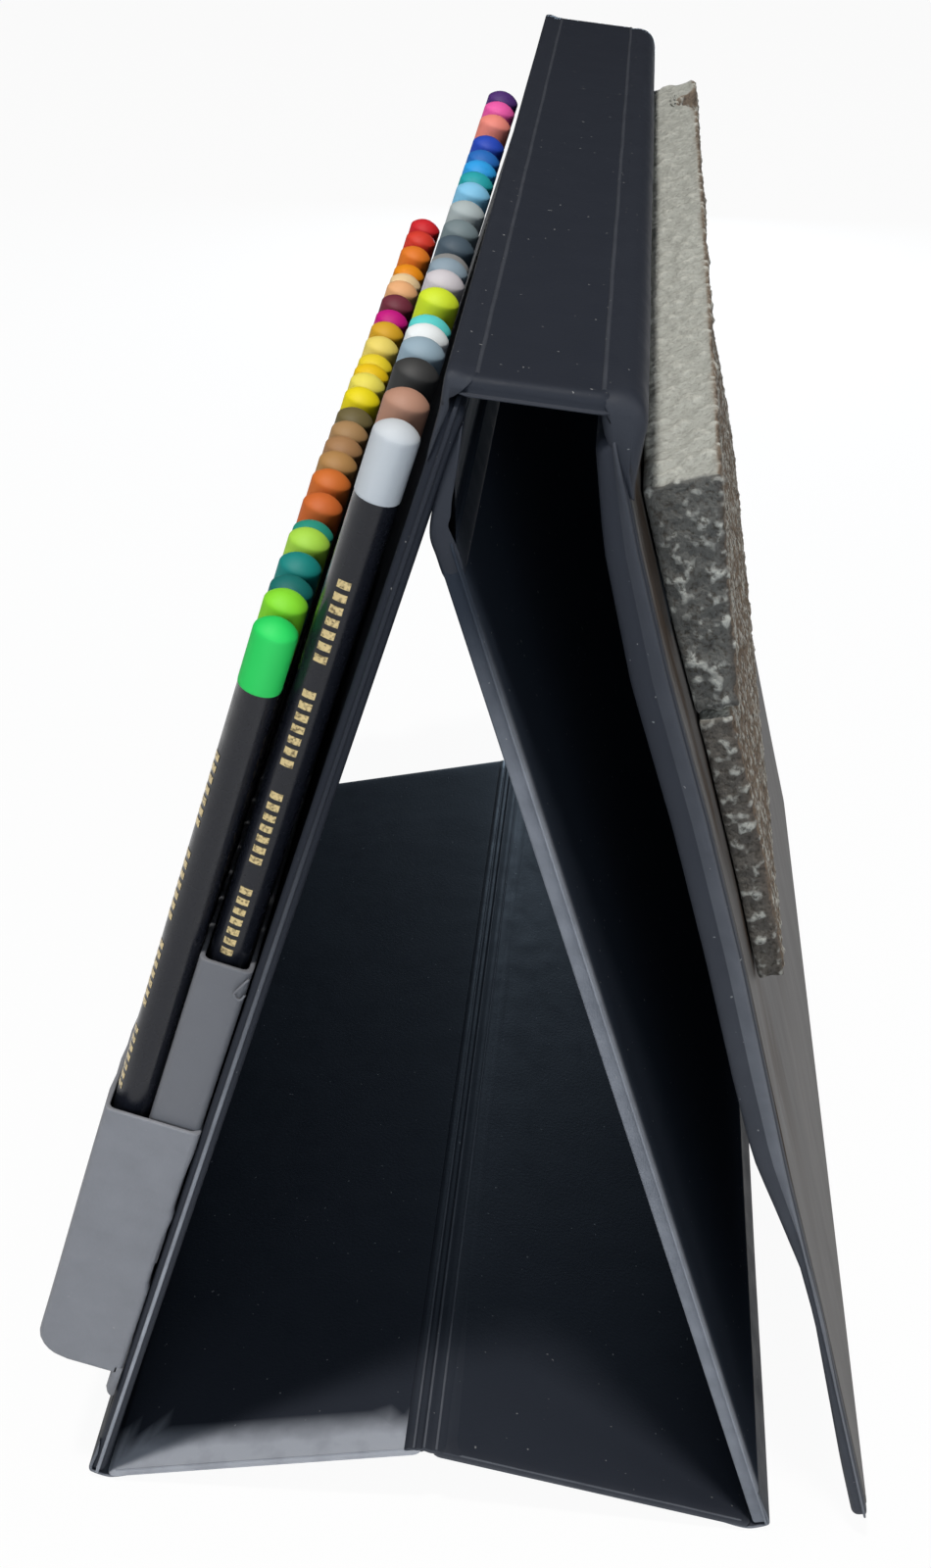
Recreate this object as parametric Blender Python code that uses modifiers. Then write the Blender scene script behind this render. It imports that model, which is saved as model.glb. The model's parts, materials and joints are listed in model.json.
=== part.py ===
"""Easel pencil case: vinyl-wrapped boards joined by welded folds, standing open as an easel.

The pencil panel leans back on a leg, and a creased base keeps the two apart. Two rows of
pencils stand in pockets on the panel's outer face. A spine and a cover with two foam bars
hang behind the leg, and fold over the pencils when the case is shut.
Each panel is modelled in the frame of the fold that it turns on: X is its thickness or its
run, Y is the case's width, and Z is its height. Metres, +Z up.
"""

import math

import bmesh
import bpy
from mathutils import Matrix, Vector

COLLECTION = "easel_pencil_case"

# Boards in their vinyl skins
CASE_WIDTH = 0.280
PANEL_LENGTH = 0.2571
COVER_SHORTFALL = 0.0124
BOARD_THICKNESS = 0.0032
FOLD_WELD_WIDTH = 0.0032
END_WELD_WIDTH = 0.0012
WELD_THICKNESS = 0.0010
BOARD_SOFTNESS = 0.0012
CORNER_RADIUS = 0.0030
BOARD_CORNER_RADIUS = 0.0020

# Folds between the boards
FOLD_RADIUS = 0.0008
FOLD_GAP = 0.0003
FACE_GAP = 0.0002
FOLD_END_INSET = 0.0040
FOLD_OVERHANG = 0.0026
SKIN_THICKNESS = 0.0008

# How the easel stands
PANEL_TILT = 17.4
BASE_RISE = 11.0
BASE_LENGTH = 0.0701
BASE_THICKNESS = 0.0016
BASE_CORNER_RADIUS = 0.0020
BASE_SOFTNESS = 0.0003
LEG_PIVOT_DROP = 0.0209
LEG_TOP_SETBACK = 0.0016
LEG_FLAP_LENGTH = 0.014

# Spine and cover
SPINE_TILT = 5.8
SPINE_AXIS_RISE = 0.0036
SPINE_START = 0.0005
SPINE_LENGTH = 0.0241
SPINE_FLAP_LENGTH = 0.014
COVER_LEAN = 1.75
COVER_AXIS_RUN = 0.0257
COVER_AXIS_DROP = 0.0006
COVER_FACE_OFFSET = 0.00245
COVER_TOP_DROP = 0.0043
COVER_WEB_DROP = 0.0075
COVER_WEB_BULGE = 0.0034
COVER_FLAP_END = 0.0143

# Foam bars on the cover's inner face
FOAM_NEAR_INSET = 0.020
FOAM_FAR_INSET = 0.004
FOAM_FAR_RISE = 0.004
FOAM_TOP_DROP = 0.0183
THICK_FOAM_HEIGHT = 0.046
THICK_FOAM_TOP = 0.0134
THICK_FOAM_FOOT = 0.0084
FOAM_STEP_GAP = 0.0005
THIN_FOAM_HEIGHT = 0.0565
THIN_FOAM_THICKNESS = 0.0062
FOAM_SOFTNESS = 0.0008
THICK_FOAM_WAIST_SHARE = 0.76

# Pencils
PENCIL_DIAMETER = 0.0075
PENCIL_LENGTH = 0.1752
DIP_THICKNESS = 0.0001
DIP_LENGTH = 0.0125
DOME_HEIGHT = 0.0020
CONE_LENGTH = 0.020
LEAD_DIAMETER = 0.0034
LEAD_LENGTH = 0.006
LEAD_POINT_DIAMETER = 0.0006
PENCIL_SIDES = 12
DOME_RINGS = 3
REAR_ROW_OFFSET = 0.0053
ROW_GAP = 0.0012
REAR_ROW_INSET = 0.0071
REAR_ROW_PITCH = 0.0107
FRONT_ROW_INSET = 0.0061
FRONT_ROW_PITCH = 0.0084

# Pockets on the pencil panel
POCKET_WALL = 0.0009
POCKET_LIP = 0.0003
POCKET_TOP_RADIUS = 0.0012
PENCIL_GAP = 0.0003
UPPER_POCKET_DEPTH = 0.0695
UPPER_POCKET_FOOT = 0.0743
UPPER_POCKET_INSET = 0.0017
LOWER_POCKET_DEPTH = 0.0700
LOWER_POCKET_FOOT = 0.0344
LOWER_POCKET_INSET = 0.0004
POCKET_FOOT_RADIUS = 0.0060
POCKET_BACK_RADIUS = 0.0040
POCKET_END_SLOT = 0.0034
POCKET_FLANGE = 0.0080

ARC_STEPS = 4
FOLD_SIDES = 10
SOFT_EDGE_ANGLE = 50
MITRE_LIMIT_SHARE = 0.5
MERGE_DISTANCE = 0.000002

# Pencil lengths as shares of a new pencil, near end first
REAR_LENGTH_SHARES = (
    0.994, 1.000, 1.006, 1.005, 0.997, 0.985, 0.994, 0.994, 0.988, 0.974, 0.977,
    0.978, 0.984, 0.990, 0.987, 0.986, 0.984, 0.988, 1.002, 1.006, 1.007,
)
FRONT_LENGTH_SHARES = (
    1.005, 1.010, 1.000, 1.002, 1.007, 0.993, 1.003, 1.010, 1.011, 1.009, 1.008, 1.006, 1.013,
    1.013, 1.007, 1.002, 1.009, 1.012, 1.012, 1.017, 1.021, 1.016, 1.014, 1.026, 1.034, 1.038,
)

# Cap colours, near end first
REAR_CAPS = (
    ("silver", (0.52, 0.55, 0.58)), ("tan_brown", (0.42, 0.22, 0.15)),
    ("charcoal", (0.03, 0.03, 0.03)), ("blue_grey", (0.28, 0.38, 0.46)),
    ("white", (0.80, 0.84, 0.86)), ("turquoise", (0.10, 0.62, 0.60)),
    ("lime_yellow", (0.62, 0.76, 0.02)), ("pale_pink_grey", (0.60, 0.56, 0.60)),
    ("mid_blue_grey", (0.25, 0.33, 0.40)), ("warm_grey", (0.24, 0.24, 0.24)),
    ("slate", (0.06, 0.09, 0.12)), ("grey_green", (0.17, 0.22, 0.24)),
    ("light_grey", (0.40, 0.46, 0.47)), ("pale_sky_blue", (0.22, 0.55, 0.80)),
    ("teal_cyan", (0.01, 0.36, 0.40)), ("sky_blue", (0.02, 0.34, 0.80)),
    ("blue", (0.01, 0.14, 0.50)), ("royal_blue", (0.01, 0.06, 0.48)),
    ("salmon", (0.85, 0.25, 0.20)), ("pink", (0.85, 0.10, 0.40)),
    ("purple", (0.07, 0.02, 0.16)),
)
FRONT_CAPS = (
    ("bright_green", (0.01, 0.60, 0.10)), ("lime_green", (0.22, 0.68, 0.02)),
    ("deep_teal", (0.00, 0.14, 0.13)), ("teal", (0.00, 0.22, 0.20)),
    ("yellow_green", (0.38, 0.68, 0.06)), ("sea_green", (0.01, 0.28, 0.20)),
    ("burnt_orange", (0.60, 0.13, 0.02)), ("rust_orange", (0.62, 0.15, 0.02)),
    ("ochre_tan", (0.42, 0.22, 0.07)), ("tan", (0.36, 0.19, 0.08)),
    ("sand", (0.38, 0.22, 0.09)), ("olive_grey", (0.14, 0.11, 0.04)),
    ("yellow", (0.85, 0.70, 0.00)), ("light_yellow", (0.85, 0.74, 0.10)),
    ("golden_yellow", (0.85, 0.56, 0.00)), ("lemon", (0.85, 0.66, 0.02)),
    ("pale_yellow", (0.85, 0.68, 0.14)), ("golden_ochre", (0.70, 0.38, 0.01)),
    ("magenta", (0.58, 0.00, 0.22)), ("maroon", (0.16, 0.02, 0.04)),
    ("peach", (0.85, 0.44, 0.20)), ("cream", (0.85, 0.62, 0.34)),
    ("orange_yellow", (0.85, 0.28, 0.00)), ("orange", (0.80, 0.20, 0.01)),
    ("red_orange", (0.70, 0.04, 0.02)), ("red", (0.65, 0.01, 0.02)),
)

VINYL_BLACK = (0.012, 0.014, 0.020)
VINYL_GREY = (0.085, 0.090, 0.105)
FOAM_GREY = (0.22, 0.22, 0.20)
FOAM_TAUPE = (0.10, 0.085, 0.070)

# Places that follow from the sizes above, in the pencil panel's frame
INNER_FACE_X = -FACE_GAP
PENCIL_FACE_X = INNER_FACE_X - BOARD_THICKNESS
SPINE_AXIS_X = PENCIL_FACE_X - FOLD_GAP - SKIN_THICKNESS / 2
COVER_LENGTH = PANEL_LENGTH - COVER_SHORTFALL
PANEL_TOP_Z = PANEL_LENGTH - FOLD_OVERHANG
LEG_PIVOT_HEIGHT = PANEL_TOP_Z - LEG_PIVOT_DROP
SPINE_AXIS_Z = PANEL_TOP_Z + SPINE_AXIS_RISE
PENCIL_RADIUS = PENCIL_DIAMETER / 2
FRONT_ROW_OFFSET = REAR_ROW_OFFSET + PENCIL_DIAMETER + ROW_GAP
UPPER_POCKET_FACE = REAR_ROW_OFFSET + PENCIL_RADIUS + PENCIL_GAP + POCKET_WALL
LOWER_POCKET_FACE = FRONT_ROW_OFFSET + PENCIL_RADIUS + PENCIL_GAP + POCKET_WALL
BASE_FOLD_DEPTH = BASE_THICKNESS + 2 * FACE_GAP
BASE_LINK = math.hypot(BASE_LENGTH, BASE_FOLD_DEPTH)
BASE_SLAB_TILT = BASE_RISE + math.degrees(math.asin(BASE_FOLD_DEPTH / BASE_LINK))
LINK_SPREAD = 2 * BASE_LINK * math.cos(math.radians(BASE_RISE))
LEG_RUN = LINK_SPREAD - LEG_PIVOT_HEIGHT * math.sin(math.radians(PANEL_TILT))
LEG_RISE = LEG_PIVOT_HEIGHT * math.cos(math.radians(PANEL_TILT))
LEG_LINK = math.hypot(LEG_RUN, LEG_RISE)
LEG_TILT = math.degrees(math.atan2(LEG_RUN, LEG_RISE))
COVER_TILT = LEG_TILT - COVER_LEAN

# Axes that turn a flat outline into the plane of a board or of a pocket's section
BOARD_PLANE = Matrix(((0, 0, 1, 0), (1, 0, 0, 0), (0, 1, 0, 0), (0, 0, 0, 1)))
SECTION_PLANE = Matrix(((1, 0, 0, 0), (0, 0, -1, 0), (0, 1, 0, 0), (0, 0, 0, 1)))


def clear_scene():
    for item in list(bpy.data.objects):
        bpy.data.objects.remove(item, do_unlink=True)


def case_collection():
    collection = bpy.data.collections.get(COLLECTION)
    if collection is None:
        collection = bpy.data.collections.new(COLLECTION)
        bpy.context.scene.collection.children.link(collection)
    return collection


def material(name, colour, roughness, metallic=0.0):
    """A Principled material, made once for each name."""
    found = bpy.data.materials.get(name)
    if found:
        return found
    made = bpy.data.materials.new(name)
    made.use_nodes = True
    shader = made.node_tree.nodes["Principled BSDF"]
    shader.inputs["Base Color"].default_value = (*colour, 1)
    shader.inputs["Roughness"].default_value = roughness
    shader.inputs["Metallic"].default_value = metallic
    made.diffuse_color = (*colour, 1)
    return made


def empty(name, parent, place, turn):
    """A frame whose Y axis is a fold: turn is in degrees about Y."""
    frame = bpy.data.objects.new(name, None)
    case_collection().objects.link(frame)
    frame.parent = parent
    frame.location = place
    frame.rotation_euler = (0, math.radians(turn), 0)
    return frame


def add_object(name, mesh, frame, finish):
    item = bpy.data.objects.new(name, mesh)
    case_collection().objects.link(item)
    item.parent = frame
    mesh.materials.clear()
    mesh.materials.append(finish)
    return item


def evaluated_mesh(item):
    """The object's mesh with its modifiers in, welded where caps meet sides."""
    graph = bpy.context.evaluated_depsgraph_get()
    mesh = bpy.data.meshes.new_from_object(item.evaluated_get(graph))
    shape = bmesh.new()
    shape.from_mesh(mesh)
    bmesh.ops.remove_doubles(shape, verts=shape.verts, dist=MERGE_DISTANCE)
    bmesh.ops.recalc_face_normals(shape, faces=shape.faces)
    shape.to_mesh(mesh)
    shape.free()
    return mesh


def drop(item):
    bpy.data.objects.remove(item, do_unlink=True)


def outline_mesh(points, thickness, plane):
    """A flat outline filled and drawn out to both sides of its plane."""
    curve = bpy.data.curves.new("outline", "CURVE")
    curve.dimensions = "2D"
    curve.fill_mode = "BOTH"
    curve.extrude = thickness / 2
    line = curve.splines.new("POLY")
    line.points.add(len(points) - 1)
    for point, (across, up) in zip(line.points, points):
        point.co = (across, up, 0, 1)
    line.use_cyclic_u = True
    item = bpy.data.objects.new("outline", curve)
    bpy.context.scene.collection.objects.link(item)
    mesh = evaluated_mesh(item)
    drop(item)
    mesh.transform(plane)
    return mesh


def softened(mesh, width, segments=2):
    """The mesh with its sharp edges rounded."""
    item = bpy.data.objects.new("softened", mesh)
    bpy.context.scene.collection.objects.link(item)
    bevel = item.modifiers.new("soft edges", "BEVEL")
    bevel.width = width
    bevel.segments = segments
    bevel.use_clamp_overlap = False
    bevel.limit_method = "ANGLE"
    bevel.angle_limit = math.radians(SOFT_EDGE_ANGLE)
    result = evaluated_mesh(item)
    drop(item)
    return result


def united(meshes):
    """One closed body from meshes that overlap."""
    items = [bpy.data.objects.new("united", mesh) for mesh in meshes]
    for item in items:
        bpy.context.scene.collection.objects.link(item)
    body = items[0]
    for other in items[1:]:
        union = body.modifiers.new("union", "BOOLEAN")
        union.operation = "UNION"
        union.solver = "EXACT"
        union.object = other
    result = evaluated_mesh(body)
    for item in items:
        drop(item)
    return result


def arc(centre, radius, start, end, steps=ARC_STEPS):
    """Points on a circle from one angle to another, in degrees."""
    turns = [math.radians(start + (end - start) * step / steps) for step in range(steps + 1)]
    return [
        (centre[0] + radius * math.cos(turn), centre[1] + radius * math.sin(turn))
        for turn in turns
    ]


def rounded_rectangle(width, height, radius):
    """Corners in order, centred on the origin."""
    across = width / 2 - radius
    up = height / 2 - radius
    corners = ((across, up, 0), (-across, up, 90), (-across, -up, 180), (across, -up, 270))
    return [
        point
        for x, y, start in corners
        for point in arc((x, y), radius, start, start + 90)
    ]


def band(centre_line, thickness):
    """The outline of a sheet that follows a line through its middle."""
    sides = ([], [])
    last = len(centre_line) - 1
    for index, (x, z) in enumerate(centre_line):
        before = Vector(centre_line[max(index - 1, 0)])
        after = Vector(centre_line[min(index + 1, last)])
        here = Vector((x, z))
        run_in = (here - before).normalized() if index else (after - here).normalized()
        run_out = (after - here).normalized() if index < last else run_in
        normal_in = Vector((-run_in.y, run_in.x))
        normal_out = Vector((-run_out.y, run_out.x))
        middle = (normal_in + normal_out).normalized()
        reach = thickness / 2 / max(middle.dot(normal_in), MITRE_LIMIT_SHARE)
        sides[0].append(tuple(here + middle * reach))
        sides[1].append(tuple(here - middle * reach))
    return sides[0] + sides[1][::-1]


def moved(mesh, x=0, y=0, z=0):
    mesh.transform(Matrix.Translation((x, y, z)))
    return mesh


def fold_mesh(x, z):
    """The round welded fold along an axis parallel to Y."""
    shape = bmesh.new()
    bmesh.ops.create_cone(
        shape,
        cap_ends=True,
        segments=FOLD_SIDES,
        radius1=FOLD_RADIUS,
        radius2=FOLD_RADIUS,
        depth=CASE_WIDTH - 2 * FOLD_END_INSET,
        matrix=Matrix.Translation((x, 0, z)) @ Matrix.Rotation(math.radians(90), 4, "X"),
    )
    mesh = bpy.data.meshes.new("fold")
    shape.to_mesh(mesh)
    shape.free()
    return mesh


def wrapped_board(name, frame, near_face_x, foot_z, length, finish):
    """A board between two skins: a flat welded rim all round, and the thicker board inside it."""
    middle_z = foot_z + length / 2
    middle_x = near_face_x + BOARD_THICKNESS / 2
    width = CASE_WIDTH - 2 * END_WELD_WIDTH
    height = length - 2 * FOLD_WELD_WIDTH
    rim = outline_mesh(
        rounded_rectangle(CASE_WIDTH, length, CORNER_RADIUS), WELD_THICKNESS, BOARD_PLANE
    )
    board = softened(
        outline_mesh(
            rounded_rectangle(width, height, BOARD_CORNER_RADIUS),
            BOARD_THICKNESS,
            BOARD_PLANE,
        ),
        BOARD_SOFTNESS,
    )
    mesh = moved(united([rim, board]), x=middle_x, z=middle_z)
    return add_object(name, mesh, frame, finish)


def base_slab(start_x, end_x, foot_z):
    mesh = outline_mesh(
        rounded_rectangle(end_x - start_x, CASE_WIDTH, BASE_CORNER_RADIUS),
        BASE_THICKNESS,
        Matrix.Identity(4),
    )
    mesh = softened(mesh, BASE_SOFTNESS, segments=1)
    return moved(mesh, x=(start_x + end_x) / 2, z=foot_z + BASE_THICKNESS / 2)


def base_front(frame, finish):
    """From the pencil panel's foot up to the crease, with the fold at each end."""
    slab = base_slab(0, BASE_LENGTH - FOLD_GAP, -FACE_GAP - BASE_THICKNESS)
    crease = fold_mesh(BASE_LENGTH, -BASE_FOLD_DEPTH)
    mesh = united([slab, fold_mesh(0, 0), crease])
    return add_object("base_front", mesh, frame, finish)


def base_rear(frame, finish):
    """From the crease down to the leg's foot, in the crease's frame."""
    start = FOLD_RADIUS + FOLD_GAP
    slab = base_slab(start, BASE_LENGTH, FACE_GAP)
    mesh = united([slab, fold_mesh(BASE_LENGTH, BASE_FOLD_DEPTH)])
    return add_object("base_rear", mesh, frame, finish)


def flap(name, frame, middle_x, low_z, high_z, fold_x, fold_z, finish):
    """A welded skin on a board's face, with the fold along one edge."""
    skin = outline_mesh(
        band(((middle_x, low_z), (middle_x, high_z)), SKIN_THICKNESS),
        CASE_WIDTH - 2 * FOLD_END_INSET,
        SECTION_PLANE,
    )
    return add_object(name, united([skin, fold_mesh(fold_x, fold_z)]), frame, finish)


def spine_board(frame, finish):
    """The narrow board between panel and cover, lying along X in its own frame."""
    item = wrapped_board("spine", frame, 0, SPINE_START, SPINE_LENGTH, finish)
    turn = Matrix.Rotation(math.radians(90), 4, "Y")
    item.data.transform(Matrix.Translation((0, 0, -FACE_GAP)) @ turn)
    return item


def bezier(points, steps):
    """A cubic curve through its two ends, read at even steps."""
    line = []
    for step in range(steps + 1):
        share = step / steps
        rest = 1 - share
        weights = (rest**3, 3 * rest**2 * share, 3 * rest * share**2, share**3)
        line.append(
            tuple(sum(w * p[axis] for w, p in zip(weights, points)) for axis in (0, 1))
        )
    return line


def cover_hinge_strip(frame, finish):
    """The skin that curves from the spine's fold down on to the cover's inner face."""
    flap_x = -COVER_FACE_OFFSET + FOLD_GAP + SKIN_THICKNESS / 2
    lean = math.radians(SPINE_TILT + COVER_TILT)
    lead_out = (COVER_WEB_BULGE * math.cos(lean), -COVER_WEB_BULGE * math.sin(lean))
    lead_in = (flap_x, -COVER_WEB_DROP / 2)
    web = bezier(((0, 0), lead_out, lead_in, (flap_x, -COVER_WEB_DROP)), 2 * ARC_STEPS)
    line = web + [(flap_x, -COVER_FLAP_END)]
    skin = outline_mesh(
        band(line, SKIN_THICKNESS), CASE_WIDTH - 2 * FOLD_END_INSET, SECTION_PLANE
    )
    return add_object("cover_hinge_strip", united([skin, fold_mesh(0, 0)]), frame, finish)


def foam_bar(name, frame, section, rise, finish):
    """A bar of foam along the case, from its section in the cover's frame.

    Its top edge climbs by the rise from the near end to the far one.
    """
    rise_from = sum(z for x, z in section) / len(section)
    length = CASE_WIDTH - FOAM_NEAR_INSET - FOAM_FAR_INSET
    mesh = softened(outline_mesh(section, length, SECTION_PLANE), FOAM_SOFTNESS, segments=1)
    moved(mesh, y=(FOAM_NEAR_INSET - FOAM_FAR_INSET) / 2)
    near = FOAM_NEAR_INSET - CASE_WIDTH / 2
    slope = rise / length
    for vertex in mesh.vertices:
        if vertex.co.z > rise_from:
            vertex.co.z += slope * (vertex.co.y - near)
    return add_object(name, mesh, frame, finish)


def foam_bars(frame):
    """The thick bar bears on the rear row's caps, the thin one on both rows."""
    seat = -COVER_FACE_OFFSET + FOLD_GAP
    top = -FOAM_TOP_DROP
    foot = top - THICK_FOAM_HEIGHT
    waist = top - THICK_FOAM_HEIGHT * THICK_FOAM_WAIST_SHARE
    thick = (
        (seat, top),
        (seat, foot),
        (seat + THICK_FOAM_FOOT, foot),
        (seat + THICK_FOAM_FOOT, waist),
        (seat + THICK_FOAM_TOP, top),
    )
    grey = material("foam_grey", FOAM_GREY, 0.95)
    foam_bar("foam_bar_thick", frame, thick, FOAM_FAR_RISE, grey)
    top = foot - FOAM_STEP_GAP
    foot = top - THIN_FOAM_HEIGHT
    face = seat + THIN_FOAM_THICKNESS
    thin = ((seat, top), (seat, foot), (face, foot), (face, top))
    foam_bar("foam_bar_thin", frame, thin, 0, material("foam_taupe", FOAM_TAUPE, 0.95))


def pocket_place(out, up):
    """A point of a pocket's section, from its distance out from the panel and its height."""
    return (PENCIL_FACE_X - out, up)


def pocket(name, frame, face, foot_z, depth, end_inset, end_back, back_sheet_foot, finish):
    """A pouch across the panel: front wall, rounded foot and weld flange, closed at both ends."""
    wall = face - POCKET_WALL / 2
    sheet = FOLD_GAP + POCKET_WALL / 2
    foot = foot_z - POCKET_WALL / 2
    mouth = foot_z + depth
    turn = POCKET_FOOT_RADIUS
    length = CASE_WIDTH - 2 * end_inset
    front_foot = arc((PENCIL_FACE_X - wall + turn, foot + turn), turn, 180, 270)
    line = [pocket_place(wall, mouth)] + front_foot
    line += [pocket_place(sheet + POCKET_WALL, foot)]
    line += [pocket_place(sheet, foot - POCKET_WALL)]
    line += [pocket_place(sheet, foot - POCKET_FLANGE)]
    pieces = [outline_mesh(band(line, POCKET_WALL), length, SECTION_PLANE)]
    if back_sheet_foot is not None:
        back = (pocket_place(sheet, back_sheet_foot), pocket_place(sheet, mouth))
        pieces.append(outline_mesh(band(back, POCKET_WALL), length, SECTION_PLANE))
    inner = POCKET_BACK_RADIUS if end_back > FOLD_GAP else POCKET_WALL
    rim = mouth - POCKET_LIP
    end = arc((PENCIL_FACE_X - wall + turn, foot + turn), turn, 180, 270)
    end += arc((PENCIL_FACE_X - end_back - inner, foot + inner), inner, 270, 360)
    end += [pocket_place(end_back, rim - POCKET_TOP_RADIUS)]
    end += [pocket_place(end_back + POCKET_TOP_RADIUS, rim)]
    end += [pocket_place(wall, rim)]
    for side in (-1, 1):
        plate = outline_mesh(end, POCKET_WALL, SECTION_PLANE)
        pieces.append(moved(plate, y=side * (length / 2 - POCKET_LIP - POCKET_WALL / 2)))
    return add_object(name, united(pieces), frame, finish)


def pockets(frame):
    grey = material("vinyl_grey", VINYL_GREY, 0.45)
    pocket(
        "upper_pocket", frame, UPPER_POCKET_FACE, UPPER_POCKET_FOOT - FOLD_OVERHANG,
        UPPER_POCKET_DEPTH, UPPER_POCKET_INSET, FOLD_GAP,
        UPPER_POCKET_FOOT - FOLD_OVERHANG - POCKET_WALL, grey,
    )
    pocket(
        "lower_pocket", frame, LOWER_POCKET_FACE, LOWER_POCKET_FOOT - FOLD_OVERHANG,
        LOWER_POCKET_DEPTH, LOWER_POCKET_INSET, POCKET_END_SLOT, None, grey,
    )


def pencil(name, frame, place, length, finish):
    """A round pencil, point down, with a dipped cap that ends in a dome."""
    cap = PENCIL_RADIUS
    barrel = PENCIL_RADIUS - DIP_THICKNESS
    profile = [(0, length)]
    for ring in range(1, DOME_RINGS + 1):
        turn = math.radians(90) * ring / DOME_RINGS
        rise = DOME_HEIGHT * (math.cos(turn) - 1)
        profile.append((cap * math.sin(turn), length + rise))
    profile += [
        (cap, length - DIP_LENGTH),
        (barrel, length - DIP_LENGTH - DIP_THICKNESS),
        (barrel, CONE_LENGTH),
        (LEAD_DIAMETER / 2, LEAD_LENGTH),
        (LEAD_POINT_DIAMETER / 2, LEAD_POINT_DIAMETER / 2),
        (0, 0),
    ]
    mesh = bpy.data.meshes.new(name)
    corners = [(x, 0, z) for x, z in profile]
    edges = [(index, index + 1) for index in range(len(corners) - 1)]
    mesh.from_pydata(corners, edges, [])
    item = add_object(name, mesh, frame, finish)
    item.location = place
    turned = item.modifiers.new("turned", "SCREW")
    turned.axis = "Z"
    turned.angle = math.radians(360)
    turned.steps = PENCIL_SIDES
    turned.render_steps = PENCIL_SIDES
    turned.use_merge_vertices = True
    turned.merge_threshold = MERGE_DISTANCE
    turned.use_smooth_shade = True
    return item


def pencil_row(row, frame, offset, inset, pitch, foot_z, caps, length_shares):
    for index, ((colour, shade), share) in enumerate(zip(caps, length_shares)):
        place = (PENCIL_FACE_X - offset, inset + pitch * index - CASE_WIDTH / 2, foot_z)
        finish = material(f"cap_{colour}", shade, 0.25)
        name = f"pencil_{row}_{index + 1:02d}"
        pencil(name, frame, place, PENCIL_LENGTH * share, finish)


def pencils(frame):
    pencil_row(
        "rear", frame, REAR_ROW_OFFSET, REAR_ROW_INSET, REAR_ROW_PITCH,
        UPPER_POCKET_FOOT - FOLD_OVERHANG + FOLD_GAP, REAR_CAPS, REAR_LENGTH_SHARES,
    )
    pencil_row(
        "front", frame, FRONT_ROW_OFFSET, FRONT_ROW_INSET, FRONT_ROW_PITCH,
        LOWER_POCKET_FOOT - FOLD_OVERHANG + FOLD_GAP, FRONT_CAPS, FRONT_LENGTH_SHARES,
    )


def stand_on_origin(root):
    """Moves the whole case so that its box stands centred on the world's origin."""
    bpy.context.view_layer.update()
    graph = bpy.context.evaluated_depsgraph_get()
    corners = []
    for item in case_collection().objects:
        if item.type == "MESH":
            shown = item.evaluated_get(graph)
            corners += [shown.matrix_world @ vertex.co for vertex in shown.data.vertices]
    low = Vector([min(corner[axis] for corner in corners) for axis in range(3)])
    high = Vector([max(corner[axis] for corner in corners) for axis in range(3)])
    middle = (low + high) / 2
    root.location -= Vector((middle.x, middle.y, low.z))
    bpy.context.view_layer.update()


def build():
    clear_scene()
    black = material("vinyl_black", VINYL_BLACK, 0.38)
    case = empty("case", None, (0, 0, 0), 0)
    panel = empty("panel_fold", case, (0, 0, 0), PANEL_TILT)
    front = empty("base_front_fold", case, (0, 0, 0), -BASE_SLAB_TILT)
    rise = math.radians(BASE_RISE)
    crease_place = (BASE_LINK * math.cos(rise), 0, BASE_LINK * math.sin(rise))
    crease = empty("crease_fold", case, crease_place, BASE_SLAB_TILT)
    leg = empty("leg_fold", case, (LINK_SPREAD, 0, 0), -LEG_TILT)
    spine = empty("spine_fold", panel, (SPINE_AXIS_X, 0, SPINE_AXIS_Z), SPINE_TILT - PANEL_TILT)
    cover_place = (COVER_AXIS_RUN, 0, -COVER_AXIS_DROP)
    cover = empty("cover_fold", spine, cover_place, -COVER_TILT - SPINE_TILT)

    wrapped_board("pencil_panel", panel, PENCIL_FACE_X, -FOLD_OVERHANG, PANEL_LENGTH, black)
    wrapped_board(
        "easel_leg", leg, FACE_GAP, -FOLD_OVERHANG,
        LEG_LINK + FOLD_OVERHANG - LEG_TOP_SETBACK, black,
    )
    base_front(front, black)
    base_rear(crease, black)
    spine_board(spine, black)
    wrapped_board(
        "cover", cover, -COVER_FACE_OFFSET - BOARD_THICKNESS,
        -COVER_TOP_DROP - COVER_LENGTH, COVER_LENGTH, black,
    )
    flap(
        "spine_hinge_strip", panel, SPINE_AXIS_X, SPINE_AXIS_Z - SPINE_FLAP_LENGTH,
        SPINE_AXIS_Z, SPINE_AXIS_X, SPINE_AXIS_Z, black,
    )
    leg_skin_x = INNER_FACE_X + FOLD_GAP + SKIN_THICKNESS / 2
    leg_fold_x = INNER_FACE_X + FOLD_GAP + FOLD_RADIUS
    flap(
        "leg_hinge_strip", panel, leg_skin_x, LEG_PIVOT_HEIGHT,
        LEG_PIVOT_HEIGHT + LEG_FLAP_LENGTH, leg_fold_x, LEG_PIVOT_HEIGHT, black,
    )
    cover_hinge_strip(cover, black)
    foam_bars(cover)
    pockets(panel)
    pencils(panel)
    stand_on_origin(case)


build()
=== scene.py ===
# %% [markdown]
# # An easel pencil case in black vinyl
#
# The real case is a set of stiff boards, each sealed between two vinyl skins, joined by folds
# where the skins are welded to each other. It stands open as an easel with its pencils in two
# rows of pockets. The sizes and the joints come from a imported model, the frame. This lesson
# dresses that frame: soft edges and welds, strips round the folds, real pencils, sponge, and the
# finish of each material.

import json
import math

import bmesh
import bpy
from mathutils import Matrix, Vector, noise


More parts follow.
